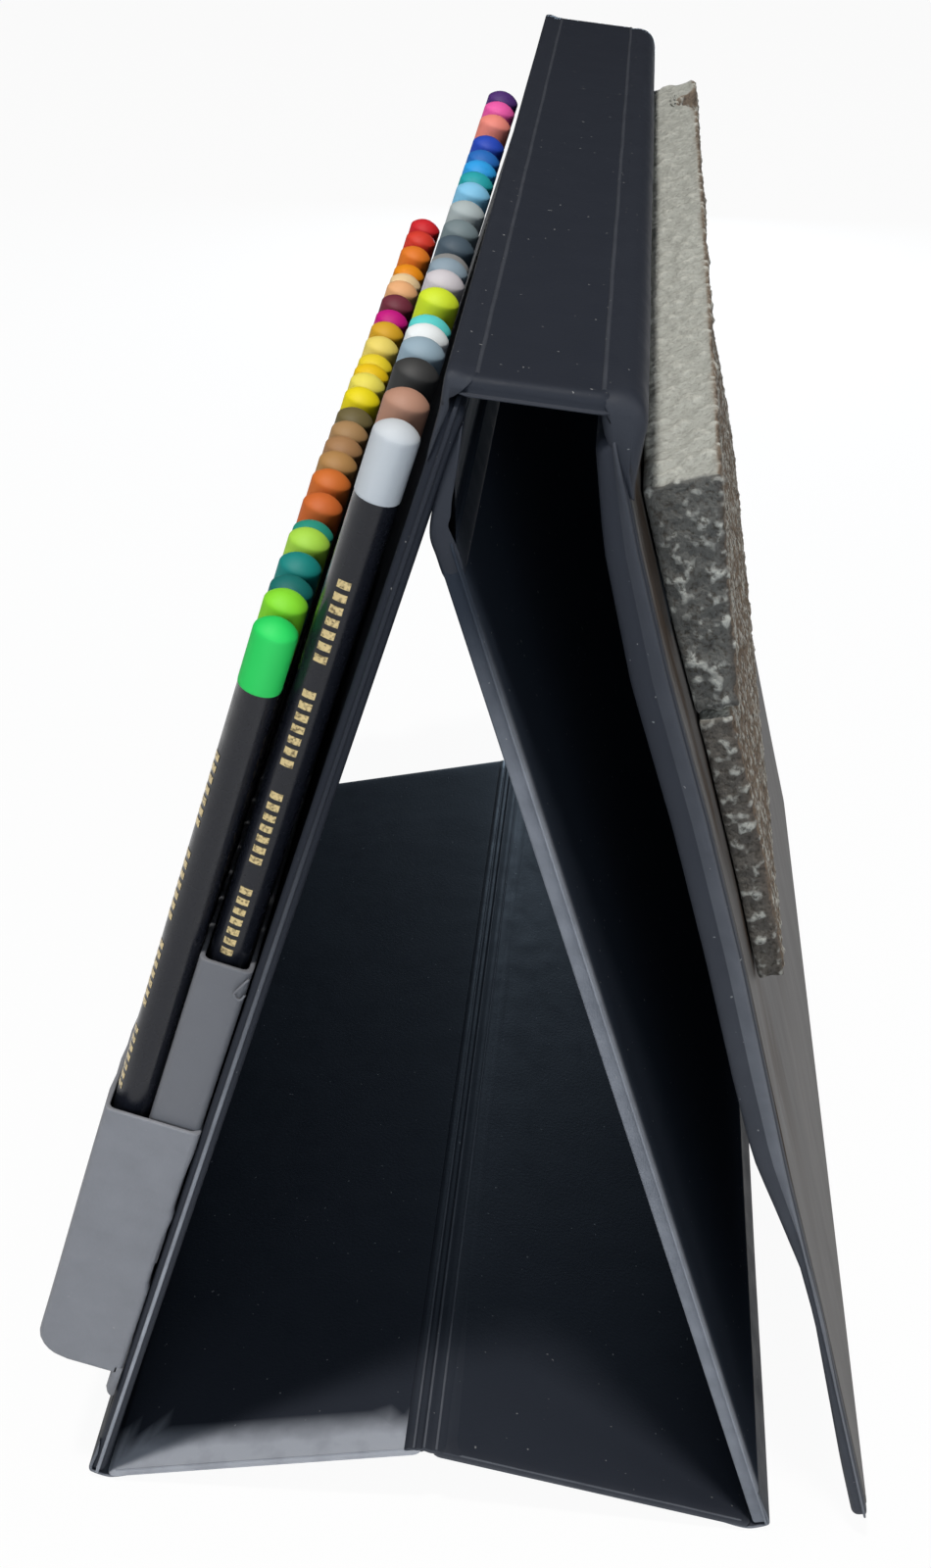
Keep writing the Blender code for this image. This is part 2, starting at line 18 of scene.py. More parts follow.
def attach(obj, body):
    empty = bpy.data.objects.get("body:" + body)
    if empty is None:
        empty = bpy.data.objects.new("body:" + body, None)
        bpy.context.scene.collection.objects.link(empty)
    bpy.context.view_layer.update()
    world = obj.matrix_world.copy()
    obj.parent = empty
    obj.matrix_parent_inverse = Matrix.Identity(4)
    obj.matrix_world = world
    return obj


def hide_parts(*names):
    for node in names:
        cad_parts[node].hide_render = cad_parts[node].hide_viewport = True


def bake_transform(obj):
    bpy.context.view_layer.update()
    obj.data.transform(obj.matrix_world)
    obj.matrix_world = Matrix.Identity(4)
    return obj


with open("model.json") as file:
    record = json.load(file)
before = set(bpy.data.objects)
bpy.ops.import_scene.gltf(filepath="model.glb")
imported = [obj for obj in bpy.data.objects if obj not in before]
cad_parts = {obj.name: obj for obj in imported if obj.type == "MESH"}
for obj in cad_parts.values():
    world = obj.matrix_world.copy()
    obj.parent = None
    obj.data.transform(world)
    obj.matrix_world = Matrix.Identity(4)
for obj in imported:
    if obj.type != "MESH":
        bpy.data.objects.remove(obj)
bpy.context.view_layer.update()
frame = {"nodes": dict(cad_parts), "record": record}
nodes = frame["nodes"]

# %% [markdown]
# ## Each board in its own frame
#
# Every board leans, so its skin is easiest to shape lying square in a frame of its own and then
# set in place by one matrix. Each frame sits on a fold: X is the board's thickness or its run,
# Y is the case's width and Z goes up the board. The folds' places come from the joints. Places
# within a board are written in millimetres, because that is how a maker would measure them.

# %% Board frames from the folds
MM = 0.001
folds = {
    joint["name"]: Vector(joint["pos_m"])
    for joint in frame["record"]["behaviour"]["joints"]
    if "pos_m" in joint
}


def leaning(fold, degrees):
    """A frame on a fold, turned about the case's width."""
    return Matrix.Translation(folds[fold]) @ Matrix.Rotation(math.radians(degrees), 4, "Y")


PANEL_TILT = 17.4
LEG_TILT = 16.9232
BASE_TILT = 12.6342
SPINE_TILT = 5.8
COVER_TILT = 15.1732
PANEL = leaning("base_front_fold", PANEL_TILT)
LEG = leaning("leg_foot_fold", -LEG_TILT)
BASE_FRONT = leaning("base_front_fold", -BASE_TILT)
BASE_REAR = leaning("base_crease_fold", BASE_TILT)
SPINE = leaning("spine_fold", SPINE_TILT)
COVER = leaning("cover_fold", -COVER_TILT)


def at(place, x, z, y=0.0):
    """A point given in millimetres in a board's frame, in the frame that all pieces share."""
    return place @ Vector((x * MM, y * MM, z * MM))


def local_box(node, place):
    """A CAD node's lowest and highest corners in a board's frame."""
    back = place.inverted()
    corners = [back @ vertex.co for vertex in nodes[node].data.vertices]
    low = Vector([min(corner[axis] for corner in corners) for axis in range(3)])
    high = Vector([max(corner[axis] for corner in corners) for axis in range(3)])
    return low, high


def eased(share):
    """A share from 0 to 1 that starts and ends softly."""
    share = min(1.0, max(0.0, share))
    return share * share * (3 - 2 * share)


print("Folds:", {name: tuple(round(v, 4) for v in place) for name, place in folds.items()})

# %% [markdown]
# ## Material helpers
#
# Each finish is a small node tree. A few helpers keep the trees readable: one adds a node and
# fills its inputs by name, with values or with other nodes' outputs, and the rest make noise,
# ramps, mixes and bumps. Patterns are laid out in metres from Object coordinates, because every
# piece keeps its object at the origin.

# %% Helpers for node trees
def plug(tree, socket, value):
    """Sets an input to a value, or joins it to another node's output."""
    if isinstance(value, bpy.types.NodeSocket):
        tree.links.new(value, socket)
    elif socket.type == "RGBA":
        socket.default_value = (*value, 1)
    else:
        socket.default_value = value


def fill(tree, node, **values):
    """Fills a node's inputs and its settings by name."""
    for name, value in values.items():
        label = name if name in node.inputs else name.replace("_", " ")
        if label in node.inputs:
            plug(tree, node.inputs[label], value)
        else:
            setattr(node, name, value)
    return node


def add_node(tree, kind, **values):
    """A new node, filled by name."""
    return fill(tree, tree.nodes.new(kind), **values)


def finish(name, colour, roughness, **sockets):
    """A new material, its tree and its shader."""
    made = bpy.data.materials.new(name)
    made.use_nodes = True
    made.diffuse_color = (*colour, 1)
    tree = made.node_tree
    shader = tree.nodes["Principled BSDF"]
    fill(tree, shader, Base_Color=colour, Roughness=roughness, **sockets)
    return made, tree, shader


def noise_at(tree, scale, detail, stretch=(1, 1, 1)):
    """Noise over the piece's own coordinates, stretched if wished."""
    where = add_node(tree, "ShaderNodeTexCoord").outputs["Object"]
    placed = add_node(tree, "ShaderNodeMapping", Vector=where, Scale=stretch).outputs["Vector"]
    texture = add_node(tree, "ShaderNodeTexNoise", Vector=placed, Scale=scale, Detail=detail)
    return texture.outputs["Fac"]


def grey(value):
    """The same number for red, green and blue."""
    return (value, value, value)


def shade(colour, amount, lift=0.0):
    """A colour made darker or lighter."""
    return tuple(min(1, part * amount + lift) for part in colour)


def ramp(tree, source, *stops):
    """A colour ramp between two stops, each a place and a colour or a grey."""
    made = add_node(tree, "ShaderNodeValToRGB", Fac=source)
    for element, (place, tone) in zip(made.color_ramp.elements, stops):
        element.position = place
        element.color = (*(tone if isinstance(tone, tuple) else grey(tone)), 1)
    return made.outputs["Color"]


def bump(tree, shader, *layers):
    """Bump nodes in a chain, from (height socket, strength, distance) layers."""
    before = None
    for height, strength, distance in layers:
        step = add_node(tree, "ShaderNodeBump", Strength=strength, Distance=distance, Height=height)
        if before:
            fill(tree, step, Normal=before)
        before = step.outputs["Normal"]
    fill(tree, shader, Normal=before)


def mixed(tree, share, first, second, kind="RGBA"):
    """A colour or a number between two, by a share; each may be a socket."""
    made = add_node(tree, "ShaderNodeMix", data_type=kind)
    sockets = [socket for socket in made.inputs if socket.enabled]
    for socket, value in zip(sockets, (share, first, second)):
        plug(tree, socket, value)
    return next(out for out in made.outputs if out.enabled)


def number(tree, operation, *values):
    """A sum, product or the like of numbers or sockets."""
    made = add_node(tree, "ShaderNodeMath", operation=operation)
    for socket, value in zip(made.inputs, values):
        plug(tree, socket, value)
    return made.outputs["Value"]


def carried(tree, name):
    """A number that the piece's mesh carries at each point."""
    return add_node(tree, "ShaderNodeAttribute", attribute_name=name).outputs["Fac"]


print("Material helpers are ready")

# %% [markdown]
# ## The vinyl
#
# Upholstery-grade vinyl is embossed with a fine pebble and has a satin skin. Three things make
# it read as vinyl: the pebble, soft waves where the skin lies loose over its board, and rims
# turned grey with specks of dust on the parts that hands touch. That grey is partly wear and
# partly painted light: a painted glint on the seams and painted light that grows towards a
# board's foot. It follows the seams, so the shader reads an attribute, `wear_and_painted_light`,
# that each skin carries from the profile that made it. The leg's wrap has a finish of its own
# without any gloss, a copy of the black vinyl in a slightly different tone, set to how the same
# vinyl looks in shade.

# %% Black and grey vinyl
PEBBLE_SCALE = 1500
WAVE_SCALE = 38
SCUFF_SCALE = 160
DUST_SCALE = 900
DUST_COLOUR = grey(0.30)
# The rims' lighter colour: partly wear, partly painted light.
WORN_AND_LIT_TO = (0.33, 0.345, 0.385)


def vinyl(name, colour, worn_and_lit, dust_share, roughness, specular):
    """An embossed vinyl that turns to a lighter colour, partly wear and partly painted light, where
    its piece says so.
    """
    made, tree, shader = finish(name, colour, roughness, Specular_IOR_Level=specular)
    pebble, wave = noise_at(tree, PEBBLE_SCALE, 2), noise_at(tree, WAVE_SCALE, 2)
    scuff = noise_at(tree, SCUFF_SCALE, 4)
    uneven = ramp(tree, scuff, (0.30, 0.72), (0.70, 1.0))
    # Wear and painted light from the piece's attribute, made uneven by a scuff noise, lighten the
    # colour.
    body = mixed(tree, number(tree, "MULTIPLY", carried(tree, "wear_and_painted_light"), uneven), colour, worn_and_lit)
    dust = noise_at(tree, DUST_SCALE, 1)
    specks = ramp(tree, dust, (dust_share, 0.0), (dust_share + 0.02, 0.55))
    sheen = ramp(tree, scuff, (0.3, roughness - 0.05), (0.75, roughness + 0.09))
    fill(tree, shader, Base_Color=mixed(tree, specks, body, DUST_COLOUR), Roughness=sheen)
    bump(tree, shader, (pebble, 0.22, 0.0002), (wave, 0.25, 0.0012))
    return made


BLACK_VINYL = vinyl("black vinyl", (0.0185, 0.0215, 0.0300), WORN_AND_LIT_TO, 0.775, 0.56, 0.10)
# Painted shade: the leg's copy of the black vinyl, without gloss and in a tone set to how that vinyl
# looks in shade.
MATT_VINYL = vinyl("matt vinyl", (0.0240, 0.0300, 0.0420), WORN_AND_LIT_TO, 0.775, 0.70, 0.0)
# The grey vinyl's lighter colour is painted light, chiefly on the lower pouch, with some wear.
GREY_VINYL = vinyl("grey vinyl", (0.130, 0.132, 0.145), (0.26, 0.265, 0.290), 0.790, 0.46, 0.3)
print("Vinyl:", [made.name for made in (BLACK_VINYL, MATT_VINYL, GREY_VINYL)])

# %% [markdown]
# ## A board sealed between two skins
#
# Cut the board across and the edge shows three things: a thin welded seam that stands out all
# round, the padded edge that swells up beside it, and then the flat of the board, where the skin
# is never quite tight. So a board is drawn as a stack of closed contours, each a rounded
# rectangle a little further in than the last, with a height for each. Loops of faces between
# neighbouring contours make the skin, and a slow noise lets the flat part breathe inwards.

# %% Contours and profiles
SEAM_REACH = 0.7 * MM
SEAM_ROUND = 0.15 * MM
SEAM_STEP = 0.08 * MM
PAD_START = SEAM_REACH + 0.1 * MM
PAD_STEPS = 5
CORNER_STEPS = 5
SAG_STEPS = (3.2, 4.6, 6.5, 9, 12, 16, 21, 27, 34, 42, 51, 61, 72, 84, 97, 111, 126, 138)
CONTOUR_STEP = 5.5 * MM
SMALLEST_ROUND = 0.2 * MM


def contour(width, height, radius, inset, counts):
    """Points round a rounded rectangle, the same number whatever the inset."""
    across = width / 2 - inset
    up = height / 2 - inset
    round_off = max(min(radius - inset, across, up), min(SMALLEST_ROUND, across, up))
    points = []
    corners = ((1, 1, 0), (-1, 1, 90), (-1, -1, 180), (1, -1, 270))
    places = [(sx * (across - round_off), sy * (up - round_off)) for sx, sy, start in corners]
    for index, (sx, sy, start) in enumerate(corners):
        x, y = places[index]
        for step in range(counts[2] + 1):
            turn = math.radians(start + 90 * step / counts[2])
            points.append((x + round_off * math.cos(turn), y + round_off * math.sin(turn)))
        ahead = places[(index + 1) % 4]
        turn = math.radians(start + 90)
        edge = (round_off * math.cos(turn), round_off * math.sin(turn))
        count = counts[index % 2]
        for step in range(1, count):
            share = step / count
            points.append((
                x + (ahead[0] - x) * share + edge[0],
                y + (ahead[1] - y) * share + edge[1],
            ))
    return points


def skin_profile(half, seam, pad, thin):
    """(inset, height) pairs from the seam inwards, for one side of a board."""
    crest = seam + thin
    start = crest + SEAM_STEP
    rise = min(pad, half - start)
    steps = [(0.0, seam + thin * 0.6), (SEAM_ROUND, crest), (SEAM_REACH, crest)]
    steps.append((SEAM_REACH + SEAM_STEP, start))
    for step in range(PAD_STEPS + 1):
        turn = math.radians(90 * step / PAD_STEPS)
        steps.append((PAD_START + pad * (1 - math.cos(turn)), half - rise + rise * math.sin(turn)))
    return steps


def new_shape(label="wear_and_painted_light"):
    """An empty shape whose points can carry a number."""
    shape = bmesh.new()
    return shape, shape.verts.layers.float.new(label)


def join_loops(shape, *loops):
    """Rings of faces from each loop to the next, all with the same number of points."""
    for outer, inner in zip(loops, loops[1:]):
        for index in range(len(outer)):
            after = (index + 1) % len(outer)
            shape.faces.new((outer[index], outer[after], inner[after], inner[index]))


def close_stack(shape, loops):
    """Joins a stack of loops and closes both its ends."""
    join_loops(shape, *loops)
    shape.faces.new(loops[0])
    shape.faces.new(loops[-1])


def two_skins(shape, profiles, width, length, radius, set_point):
    """A closed skin: a stack of contours for each side of a board, joined at the rim."""
    counts = [round(size / CONTOUR_STEP) for size in (width, length)] + [CORNER_STEPS]
    rims = []
    for side, profile in zip((1, -1), profiles):
        loops = []
        for inset, height in profile:
            spots = contour(width, length, radius, inset, counts)
            loops.append([set_point(side, inset, height, *spot) for spot in spots])
        join_loops(shape, *loops)
        shape.faces.new(loops[-1])
        rims.append(loops[0])
    join_loops(shape, *rims)


def sag(across, along, inset, seed, looseness):
    """How far a loose skin lies in: nothing near its rim, then a slow noise."""
    start, run, depth, pitch_across, pitch_along = looseness
    settle = min(1, max(0, inset - start) / run)
    slack = noise.noise(Vector((across * pitch_across, along * pitch_along, seed)))
    return settle * depth * (0.5 + 0.5 * slack)


def in_scene(name, data):
    """A new object in the scene."""
    made = bpy.data.objects.new(name, data)
    bpy.context.scene.collection.objects.link(made)
    return made


def plain_mesh(name, shape):
    """A mesh from a bmesh, which it frees."""
    mesh = bpy.data.meshes.new(name)
    shape.to_mesh(mesh)
    shape.free()
    return mesh


def as_mesh(name, shape):
    """A mesh from a closed bmesh, with its faces turned outwards."""
    bmesh.ops.recalc_face_normals(shape, faces=shape.faces)
    return plain_mesh(name, shape)


def settled(name, mesh, materials, body, slot, *replaced):
    """Puts a finished mesh in the scene on its body, in place of its CAD nodes."""
    for polygon in mesh.polygons:
        polygon.use_smooth = True
    while mesh.materials:
        mesh.materials.pop()
    for material in materials:
        mesh.materials.append(material)
    piece = in_scene(name, mesh)
    if body:
        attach(piece, body)
    if replaced:
        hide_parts(*replaced)
    return piece


print("A seam reaches in", SEAM_REACH / MM, "mm")

# %% The cover's bow
CASE_WIDTH = 280 * MM
COVER_TOP = -4.3
COVER_RUN = 244.7
COVER_BOW = (
    (0.0, 0.0), (0.08, -0.6), (0.17, -0.6), (0.28, 0.3), (0.4, 0.6), (0.5, 0.3), (0.6, 0.0),
    (0.75, 0.3), (1.0, 0.0),
)
FAR_SWING = -2.6
COVER_LOOSE = (
    (0.0, 0.2), (0.07, 2.2), (0.17, 3.1), (0.29, 3.0), (0.41, 3.1), (0.5, 3.1), (0.58, 2.7),
    (0.64, 0.8), (0.70, -1.0), (0.76, -1.3), (0.83, -0.8), (0.93, -0.1), (1.0, 0.0),
)


def read_off(table, share):
    """A value between the (share, value) pairs of a table."""
    share = min(1.0, max(0.0, share))
    for (start, low), (end, high) in zip(table, table[1:]):
        if share <= end:
            break
    return low + (high - low) * (share - start) / (end - start)


def cover_share(z):
    """How far down the cover a height is, from 0 at its top to 1 at its foot."""
    return (COVER_TOP - z / MM) / COVER_RUN


def cover_bow(y, z):
    """How far the cover bends out, in metres; its far foot swings the other way."""
    share = cover_share(z)
    far = y / CASE_WIDTH + 0.5
    return (read_off(COVER_BOW, share) * (1 - far) + FAR_SWING * eased(share) * far) * MM


def cover_loose(z):
    """How far the outer skin stands off the cover's board, in metres."""
    return read_off(COVER_LOOSE, cover_share(z)) * MM


print("The cover bows by", [value for share, value in COVER_BOW], "mm")

# %% Wrap the four boards
# Each looseness: its start and run in from the rim, its depth, its pitch across and along.
BOARD_LOOSE = (3 * MM, 9 * MM, 0.30 * MM, 26, 26)
BOARD_CORNER = 3 * MM
STAND_RUN = 2 * MM
BAND_REACH = 1.8 * MM
BAND_FADE = 0.6 * MM
MIDDLE_GAP = 2 * MM


def wrapped_board(name, node, place, look):
    """A skin over a board, to the size of its CAD node, laid in the board's frame."""
    low, high = local_box(node, place)
    middle, size = (low + high) / 2, high - low
    flat = look.get("flat", False)
    thickness, length = (size.z, size.x) if flat else (size.x, size.z)
    half = thickness / 2
    waves = look["waves"]
    foot, top, start, run = look["wear_and_painted_light"]
    shape, wear_and_painted_light = new_shape()

    def set_point(side, inset, height, across, up):
        """One point of the skin, with its wear and painted light."""
        slack = sag(across, up, inset, 3.1 * side + 7 * waves, BOARD_LOOSE)
        depth = (height - slack * waves) * side
        where = middle + Vector((up, across, depth) if flat else (depth, across, up))
        if node == "cover":
            stand = min(1, inset / STAND_RUN) ** 0.5 * (side < 0)
            where.x += cover_bow(where.y, where.z) - stand * cover_loose(where.z)
        vertex = shape.verts.new(where)
        # Painted light: the rims are painted lighter towards the board's foot, where light from the
        # floor falls.
        level = foot + (top - foot) * eased((up / length + 0.5 - start) / run)
        # The seam takes the full value, partly wear and partly a painted glint; the pad beside it
        # takes a share that fades inwards.
        band = look["band"] * math.exp(-max(0, inset - BAND_REACH) / BAND_FADE)
        vertex[wear_and_painted_light] = level * (1.0 if inset <= SEAM_REACH else band)
        return vertex

    reach = min(size.y, length) / 2 - MIDDLE_GAP
    level_part = [(step * MM, half) for step in SAG_STEPS if step * MM < reach]
    profiles = [
        skin_profile(half, look["seam"] * side, look["pad"], look["thin"]) + level_part
        for side in (1, -1)
    ]
    two_skins(shape, profiles, size.y, length, BOARD_CORNER, set_point)
    shape.transform(place)
    return settled(name, as_mesh(name, shape), [look["skin"]], node, "vinyl_black", node)


# Each look: the seam's height off the middle, its thickness, the pad's rise, how loose the skin
# is, the wear and painted light (at the foot, at the top, start and run of the fade as shares;
# painted lighter at the foot) and the share of it on the pad beside the seam.
BOARDS = (
    ("pencil_panel", PANEL, {
        "seam": 0.0, "thin": 0.36 * MM, "pad": 1.4 * MM, "waves": 1.0,
        "wear_and_painted_light": (1.0, 0.02, 0.2, 0.55), "band": 0.05, "skin": BLACK_VINYL,
    }),
    ("easel_leg", LEG, {
        "seam": 1.15 * MM, "thin": 0.22 * MM, "pad": 0.5 * MM, "waves": 0.8,
        "wear_and_painted_light": (0.75, 0.02, 0.78, 0.18), "band": 0.85, "skin": MATT_VINYL,
    }),
    ("cover", COVER, {
        "seam": 0.95 * MM, "thin": 0.2 * MM, "pad": 1.5 * MM, "waves": 1.0,
        "wear_and_painted_light": (0.45, 0.10, 0.3, 0.6), "band": 0.25, "skin": BLACK_VINYL,
    }),
    ("spine", SPINE, {
        "seam": -0.9 * MM, "thin": 0.18 * MM, "pad": 1.5 * MM, "waves": 0.5,
        "wear_and_painted_light": (0.05, 0.05, 0.5, 0.5), "band": 0.3, "skin": BLACK_VINYL, "flat": True,
    }),
)
for node, place, look in BOARDS:
    board = wrapped_board(node + "_skin", node, place, look)
    print("Board:", board.name, len(board.data.polygons), "faces")

# %% [markdown]
# ## The base panels
#
# The two base panels are thinner and softer than the rest, one lining board in each. Their
# ends roll off gently towards a thin welded rim, so each is the same stack of contours with a
# flatter profile.

# %% Base panels
BASE_HALF = 0.8 * MM
BASE_PROFILE = (
    (0.0, 0.10), (0.12, 0.18), (0.5, 0.20), (0.65, 0.34), (1.0, 0.50), (1.7, 0.60),
    (3.0, 0.67), (5.0, 0.73), (8.0, 0.77), (12.0, 0.80),
)
BASE_LOOSE = (3 * MM, 14 * MM, 0.28 * MM, 34, 24)
BASE_CORNER = 2 * MM
PAINTED_LIGHT_FADE = 3.5 * MM
RIM_FADE = 0.8 * MM


def base_panel(name, node, place, start, end, middle_z, level, painted_light):
    """A thin wrapped slab over the CAD node's run, less its fold beads."""
    low, high = local_box(node, place)
    width, length = high.y - low.y, end - start
    middle = Vector(((start + end) / 2, 0, middle_z))
    shape, wear_and_painted_light = new_shape()

    def set_point(side, inset, height, across, along):
        """One point of the slab, with its wear and painted light."""
        slack = sag(across, along, inset, 5.7 * side, BASE_LOOSE)
        vertex = shape.verts.new(Vector((along, across, (height - slack) * side)) + middle)
        # Painted highlight: a lighter strip along the front panel's near edge, where its rolled edge
        # catches the key lamp.
        edge = 1 - eased((width / 2 + across - painted_light) / PAINTED_LIGHT_FADE)
        vertex[wear_and_painted_light] = level * (edge if painted_light else math.exp(-inset / RIM_FADE))
        return vertex

    profile = [(inset * MM, height * MM) for inset, height in BASE_PROFILE]
    full = BASE_PROFILE[-1][0] * MM
    profile += [
        (step * MM, BASE_HALF) for step in SAG_STEPS if full < step * MM < length / 2 - MIDDLE_GAP
    ]
    two_skins(shape, (profile, profile), width, length, BASE_CORNER, set_point)
    shape.transform(place)
    return settled(name, as_mesh(name, shape), [BLACK_VINYL], node, "vinyl_black", node)


# Each panel: its run, its middle's height, its level of wear and painted light, and the width of its
# painted highlight strip, 0 for none.
for name, place, run, middle_z, level, painted_light in (
    ("base_front", BASE_FRONT, (0.0, 69.8), -1.0 * MM, 1.15, 6.5 * MM),
    ("base_rear", BASE_REAR, (1.1, 70.1), 1.0 * MM, 0.15, 0),
):
    start, end = (x * MM for x in run)
    made = base_panel(name + "_skin", name, place, start, end, middle_z, level, painted_light)
    print("Base panel:", made.name, len(made.data.polygons), "faces")

# %% [markdown]
# ## The folds
#
# Where two boards meet, only vinyl crosses: a strip that lies on one board, rolls round the
# fold and runs on to the other. Its section is a smooth line with a thickness that fades out at
# both ends, drawn along the width of the case. Most fold strips ride on neither of their two
# bodies and stay as drawn; the leg's hinge rides on the panel.

# %% A strip rolled round a fold
FOLD_STATION = 6 * MM
FOLD_WANDER = 0.12 * MM
FOLD_THICK = 0.7 * MM
FOLD_REACH = 139.4 * MM
CREASE_REACH = 139.2 * MM
FOLD_END = 0.3 * MM
END_WEAR_AND_LIGHT = 0.2 * MM
FIELD_WEAR_AND_LIGHT = 0.15
SMOOTH_STEPS = 4


def smooth_line(points):
    """A Catmull-Rom line through the points, with a few steps between each pair."""
    line = []
    for index in range(len(points) - 1):
        before = points[max(0, index - 1)]
        here, ahead = points[index], points[index + 1]
        after = points[min(len(points) - 1, index + 2)]
        for step in range(SMOOTH_STEPS):
            t = step / SMOOTH_STEPS
            line.append(0.5 * (
                2 * here + (ahead - before) * t
                + (2 * before - 5 * here + 4 * ahead - after) * t * t
                + (3 * here - before - 3 * ahead + after) * t ** 3
            ))
    return line + [points[-1]]


def places_on(board, *pairs):
    """Points of a fold's section, from (x, z) pairs in a board's frame."""
    return [at(board, x, z) for x, z in pairs]


def fold_stir(point, y, seed):
    """The slow noise that keeps a fold from being dead straight."""
    return FOLD_WANDER * noise.noise(Vector((point.x * 90, y * 22, point.z * 90 + seed)))


def stations(reach):
    """Even places along the case between the ends of a fold."""
    count = round(2 * reach / FOLD_STATION)
    return [-reach + 2 * reach * step / count for step in range(1, count)]


def fold_strip(name, path, reach, wear_and_light_level, seed):
    """A strip's mesh from a section's points; the first side is the one that shows."""
    line = smooth_line(path)
    last = len(line) - 1
    shape, wear_and_painted_light = new_shape()
    places = [-reach, -reach + FOLD_END] + stations(reach) + [reach - FOLD_END, reach]
    rings = []
    for y in places:
        shown, hidden = [], []
        for index, point in enumerate(line):
            along = line[min(last, index + 1)] - line[max(0, index - 1)]
            out = Vector((-along.z, 0, along.x)).normalized()
            fade = math.sin(math.pi * min(1, max(0.06, min(index, last - index) / 5)) / 2)
            edge = min(1, (reach - abs(y)) / FOLD_END)
            lift = fold_stir(point, y, seed) * fade - (1 - edge) * 0.25 * FOLD_THICK
            for side, depth in ((shown, lift), (hidden, lift * edge - FOLD_THICK * fade)):
                vertex = shape.verts.new(point + out * depth + Vector((0, y, 0)))
                # The strip's ends take the full value, partly wear and partly painted light on the
                # near edge; the rest takes a share.
                vertex[wear_and_painted_light] = wear_and_light_level * (1.0 if abs(y) > reach - END_WEAR_AND_LIGHT else FIELD_WEAR_AND_LIGHT)
                side.append(vertex)
        rings.append((shown, hidden))
    join_loops(shape, *(shown + hidden[::-1] for shown, hidden in rings))
    for shown, hidden in (rings[0], rings[-1]):
        for index in range(last):
            shape.faces.new((shown[index], shown[index + 1], hidden[index + 1], hidden[index]))
    return as_mesh(name, shape)


print("A fold is", FOLD_THICK / MM, "mm thick")


# %% A padded strip that fills a fold
def closed_strip(name, outline, wear_and_light_level, seed, end_round):
    """A filled strip from the points of a closed outline, drawn along the case."""
    around = [outline[-1]] + outline + outline[:2]
    ring = smooth_line(around)[SMOOTH_STEPS:-SMOOTH_STEPS - 1]
    middle = sum(ring, Vector()) / len(ring)
    shape, wear_and_painted_light = new_shape()
    reach = FOLD_REACH
    ends = [(reach, 0.55), (reach - 0.25 * end_round, 0.86), (reach - end_round, 1.0)]
    places = [(-y, size) for y, size in ends]
    places += [(y, 1.0) for y in stations(reach) if abs(y) < reach - end_round]
    places += ends[::-1]
    loops = []
    for y, size in places:
        loop = []
        for point in ring:
            out = (point - middle).normalized() * fold_stir(point, y, seed)
            where = middle + (point - middle) * size + out
            vertex = shape.verts.new((where.x, y, where.z))
            # The rounded ends take the full value, partly wear and partly painted light on the near
            # edge; the rest takes a share.
            vertex[wear_and_painted_light] = wear_and_light_level * (1.0 if size < 1 else FIELD_WEAR_AND_LIGHT)
            loop.append(vertex)
        loops.append(loop)
    join_loops(shape, *loops)
    for loop in (loops[0], loops[-1]):
        bmesh.ops.triangulate(shape, faces=[shape.faces.new(loop)])
    return as_mesh(name, shape)


print("A filled fold reaches", FOLD_REACH / MM, "mm from the middle")

# %% Fold strips between the bodies
FOOT_PATH = (
    places_on(PANEL, (-3.35, 9.0), (-3.5, 5.0), (-3.75, 1.5), (-3.7, -0.6), (-2.9, -1.60))
    + places_on(BASE_FRONT, (-0.4, -1.88), (2.0, -2.15), (5.0, -1.9), (8.0, -1.70))
)
CREASE_PATH = (
    places_on(
        BASE_FRONT, (66.0, -0.30), (67.0, -0.10), (68.0, -0.40), (68.8, -0.30), (69.5, -0.55),
        (70.3, -0.35),
    )
    + places_on(BASE_REAR, (1.1, 1.35), (2.2, 1.6), (3.4, 1.55), (4.8, 1.75), (7.5, 1.62))
)
LEG_FOOT_PATH = (
    places_on(BASE_REAR, (62.0, 0.25), (65.0, -0.05), (68.0, -0.30), (70.6, 0.05))
    + places_on(LEG, (3.0, -1.60), (3.75, -0.6), (3.8, 1.5), (3.55, 5.0), (3.4, 9.0))
)
SPINE_FOLD = (
    places_on(PANEL, (-3.3, 243.0), (-3.75, 247.0), (-4.0, 252.0), (-4.55, 255.6), (-4.75, 257.6))
    + places_on(
        SPINE, (-0.35, 0.25), (0.9, 0.30), (2.4, -0.08), (3.6, -0.30), (2.4, -1.6), (1.2, -2.6),
        (0.2, -3.4),
    )
    + places_on(PANEL, (-2.6, 252.6), (-2.9, 248.0))
)
WEB = (
    places_on(
        SPINE, (21.6, -0.35), (23.0, -0.10), (24.6, 0.05), (26.6, -0.35), (28.3, -1.7),
        (29.3, -4.2),
    )
    + places_on(
        COVER, (1.1, -7.0), (-0.4, -10.5), (-1.7, -13.5), (-2.7, -16.5), (-3.6, -12.5),
        (-4.4, -8.5), (-4.6, -5.0),
    )
    + places_on(SPINE, (22.4, -4.4), (22.0, -1.8))
)
LEG_TOP = (
    places_on(LEG, (0.15, 224.5), (-0.05, 228.5), (-0.05, 231.5))
    + places_on(
        PANEL, (-0.05, 235.4), (-0.45, 239.5), (-0.55, 246.0), (-0.1, 251.0), (0.9, 247.0),
        (1.7, 242.0), (2.7, 238.0),
    )
    + places_on(LEG, (3.1, 232.2), (3.5, 228.5), (3.45, 224.5), (1.8, 223.5))
)


def bending(name, mesh, first, second, start, end, *replaced):
    """A strip between two bodies, set on neither of them; nothing makes it bend."""
    piece = settled(name, mesh, [BLACK_VINYL], None, "vinyl_black", *replaced)
    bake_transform(piece)
    print("Fold:", name, len(mesh.polygons), "faces")


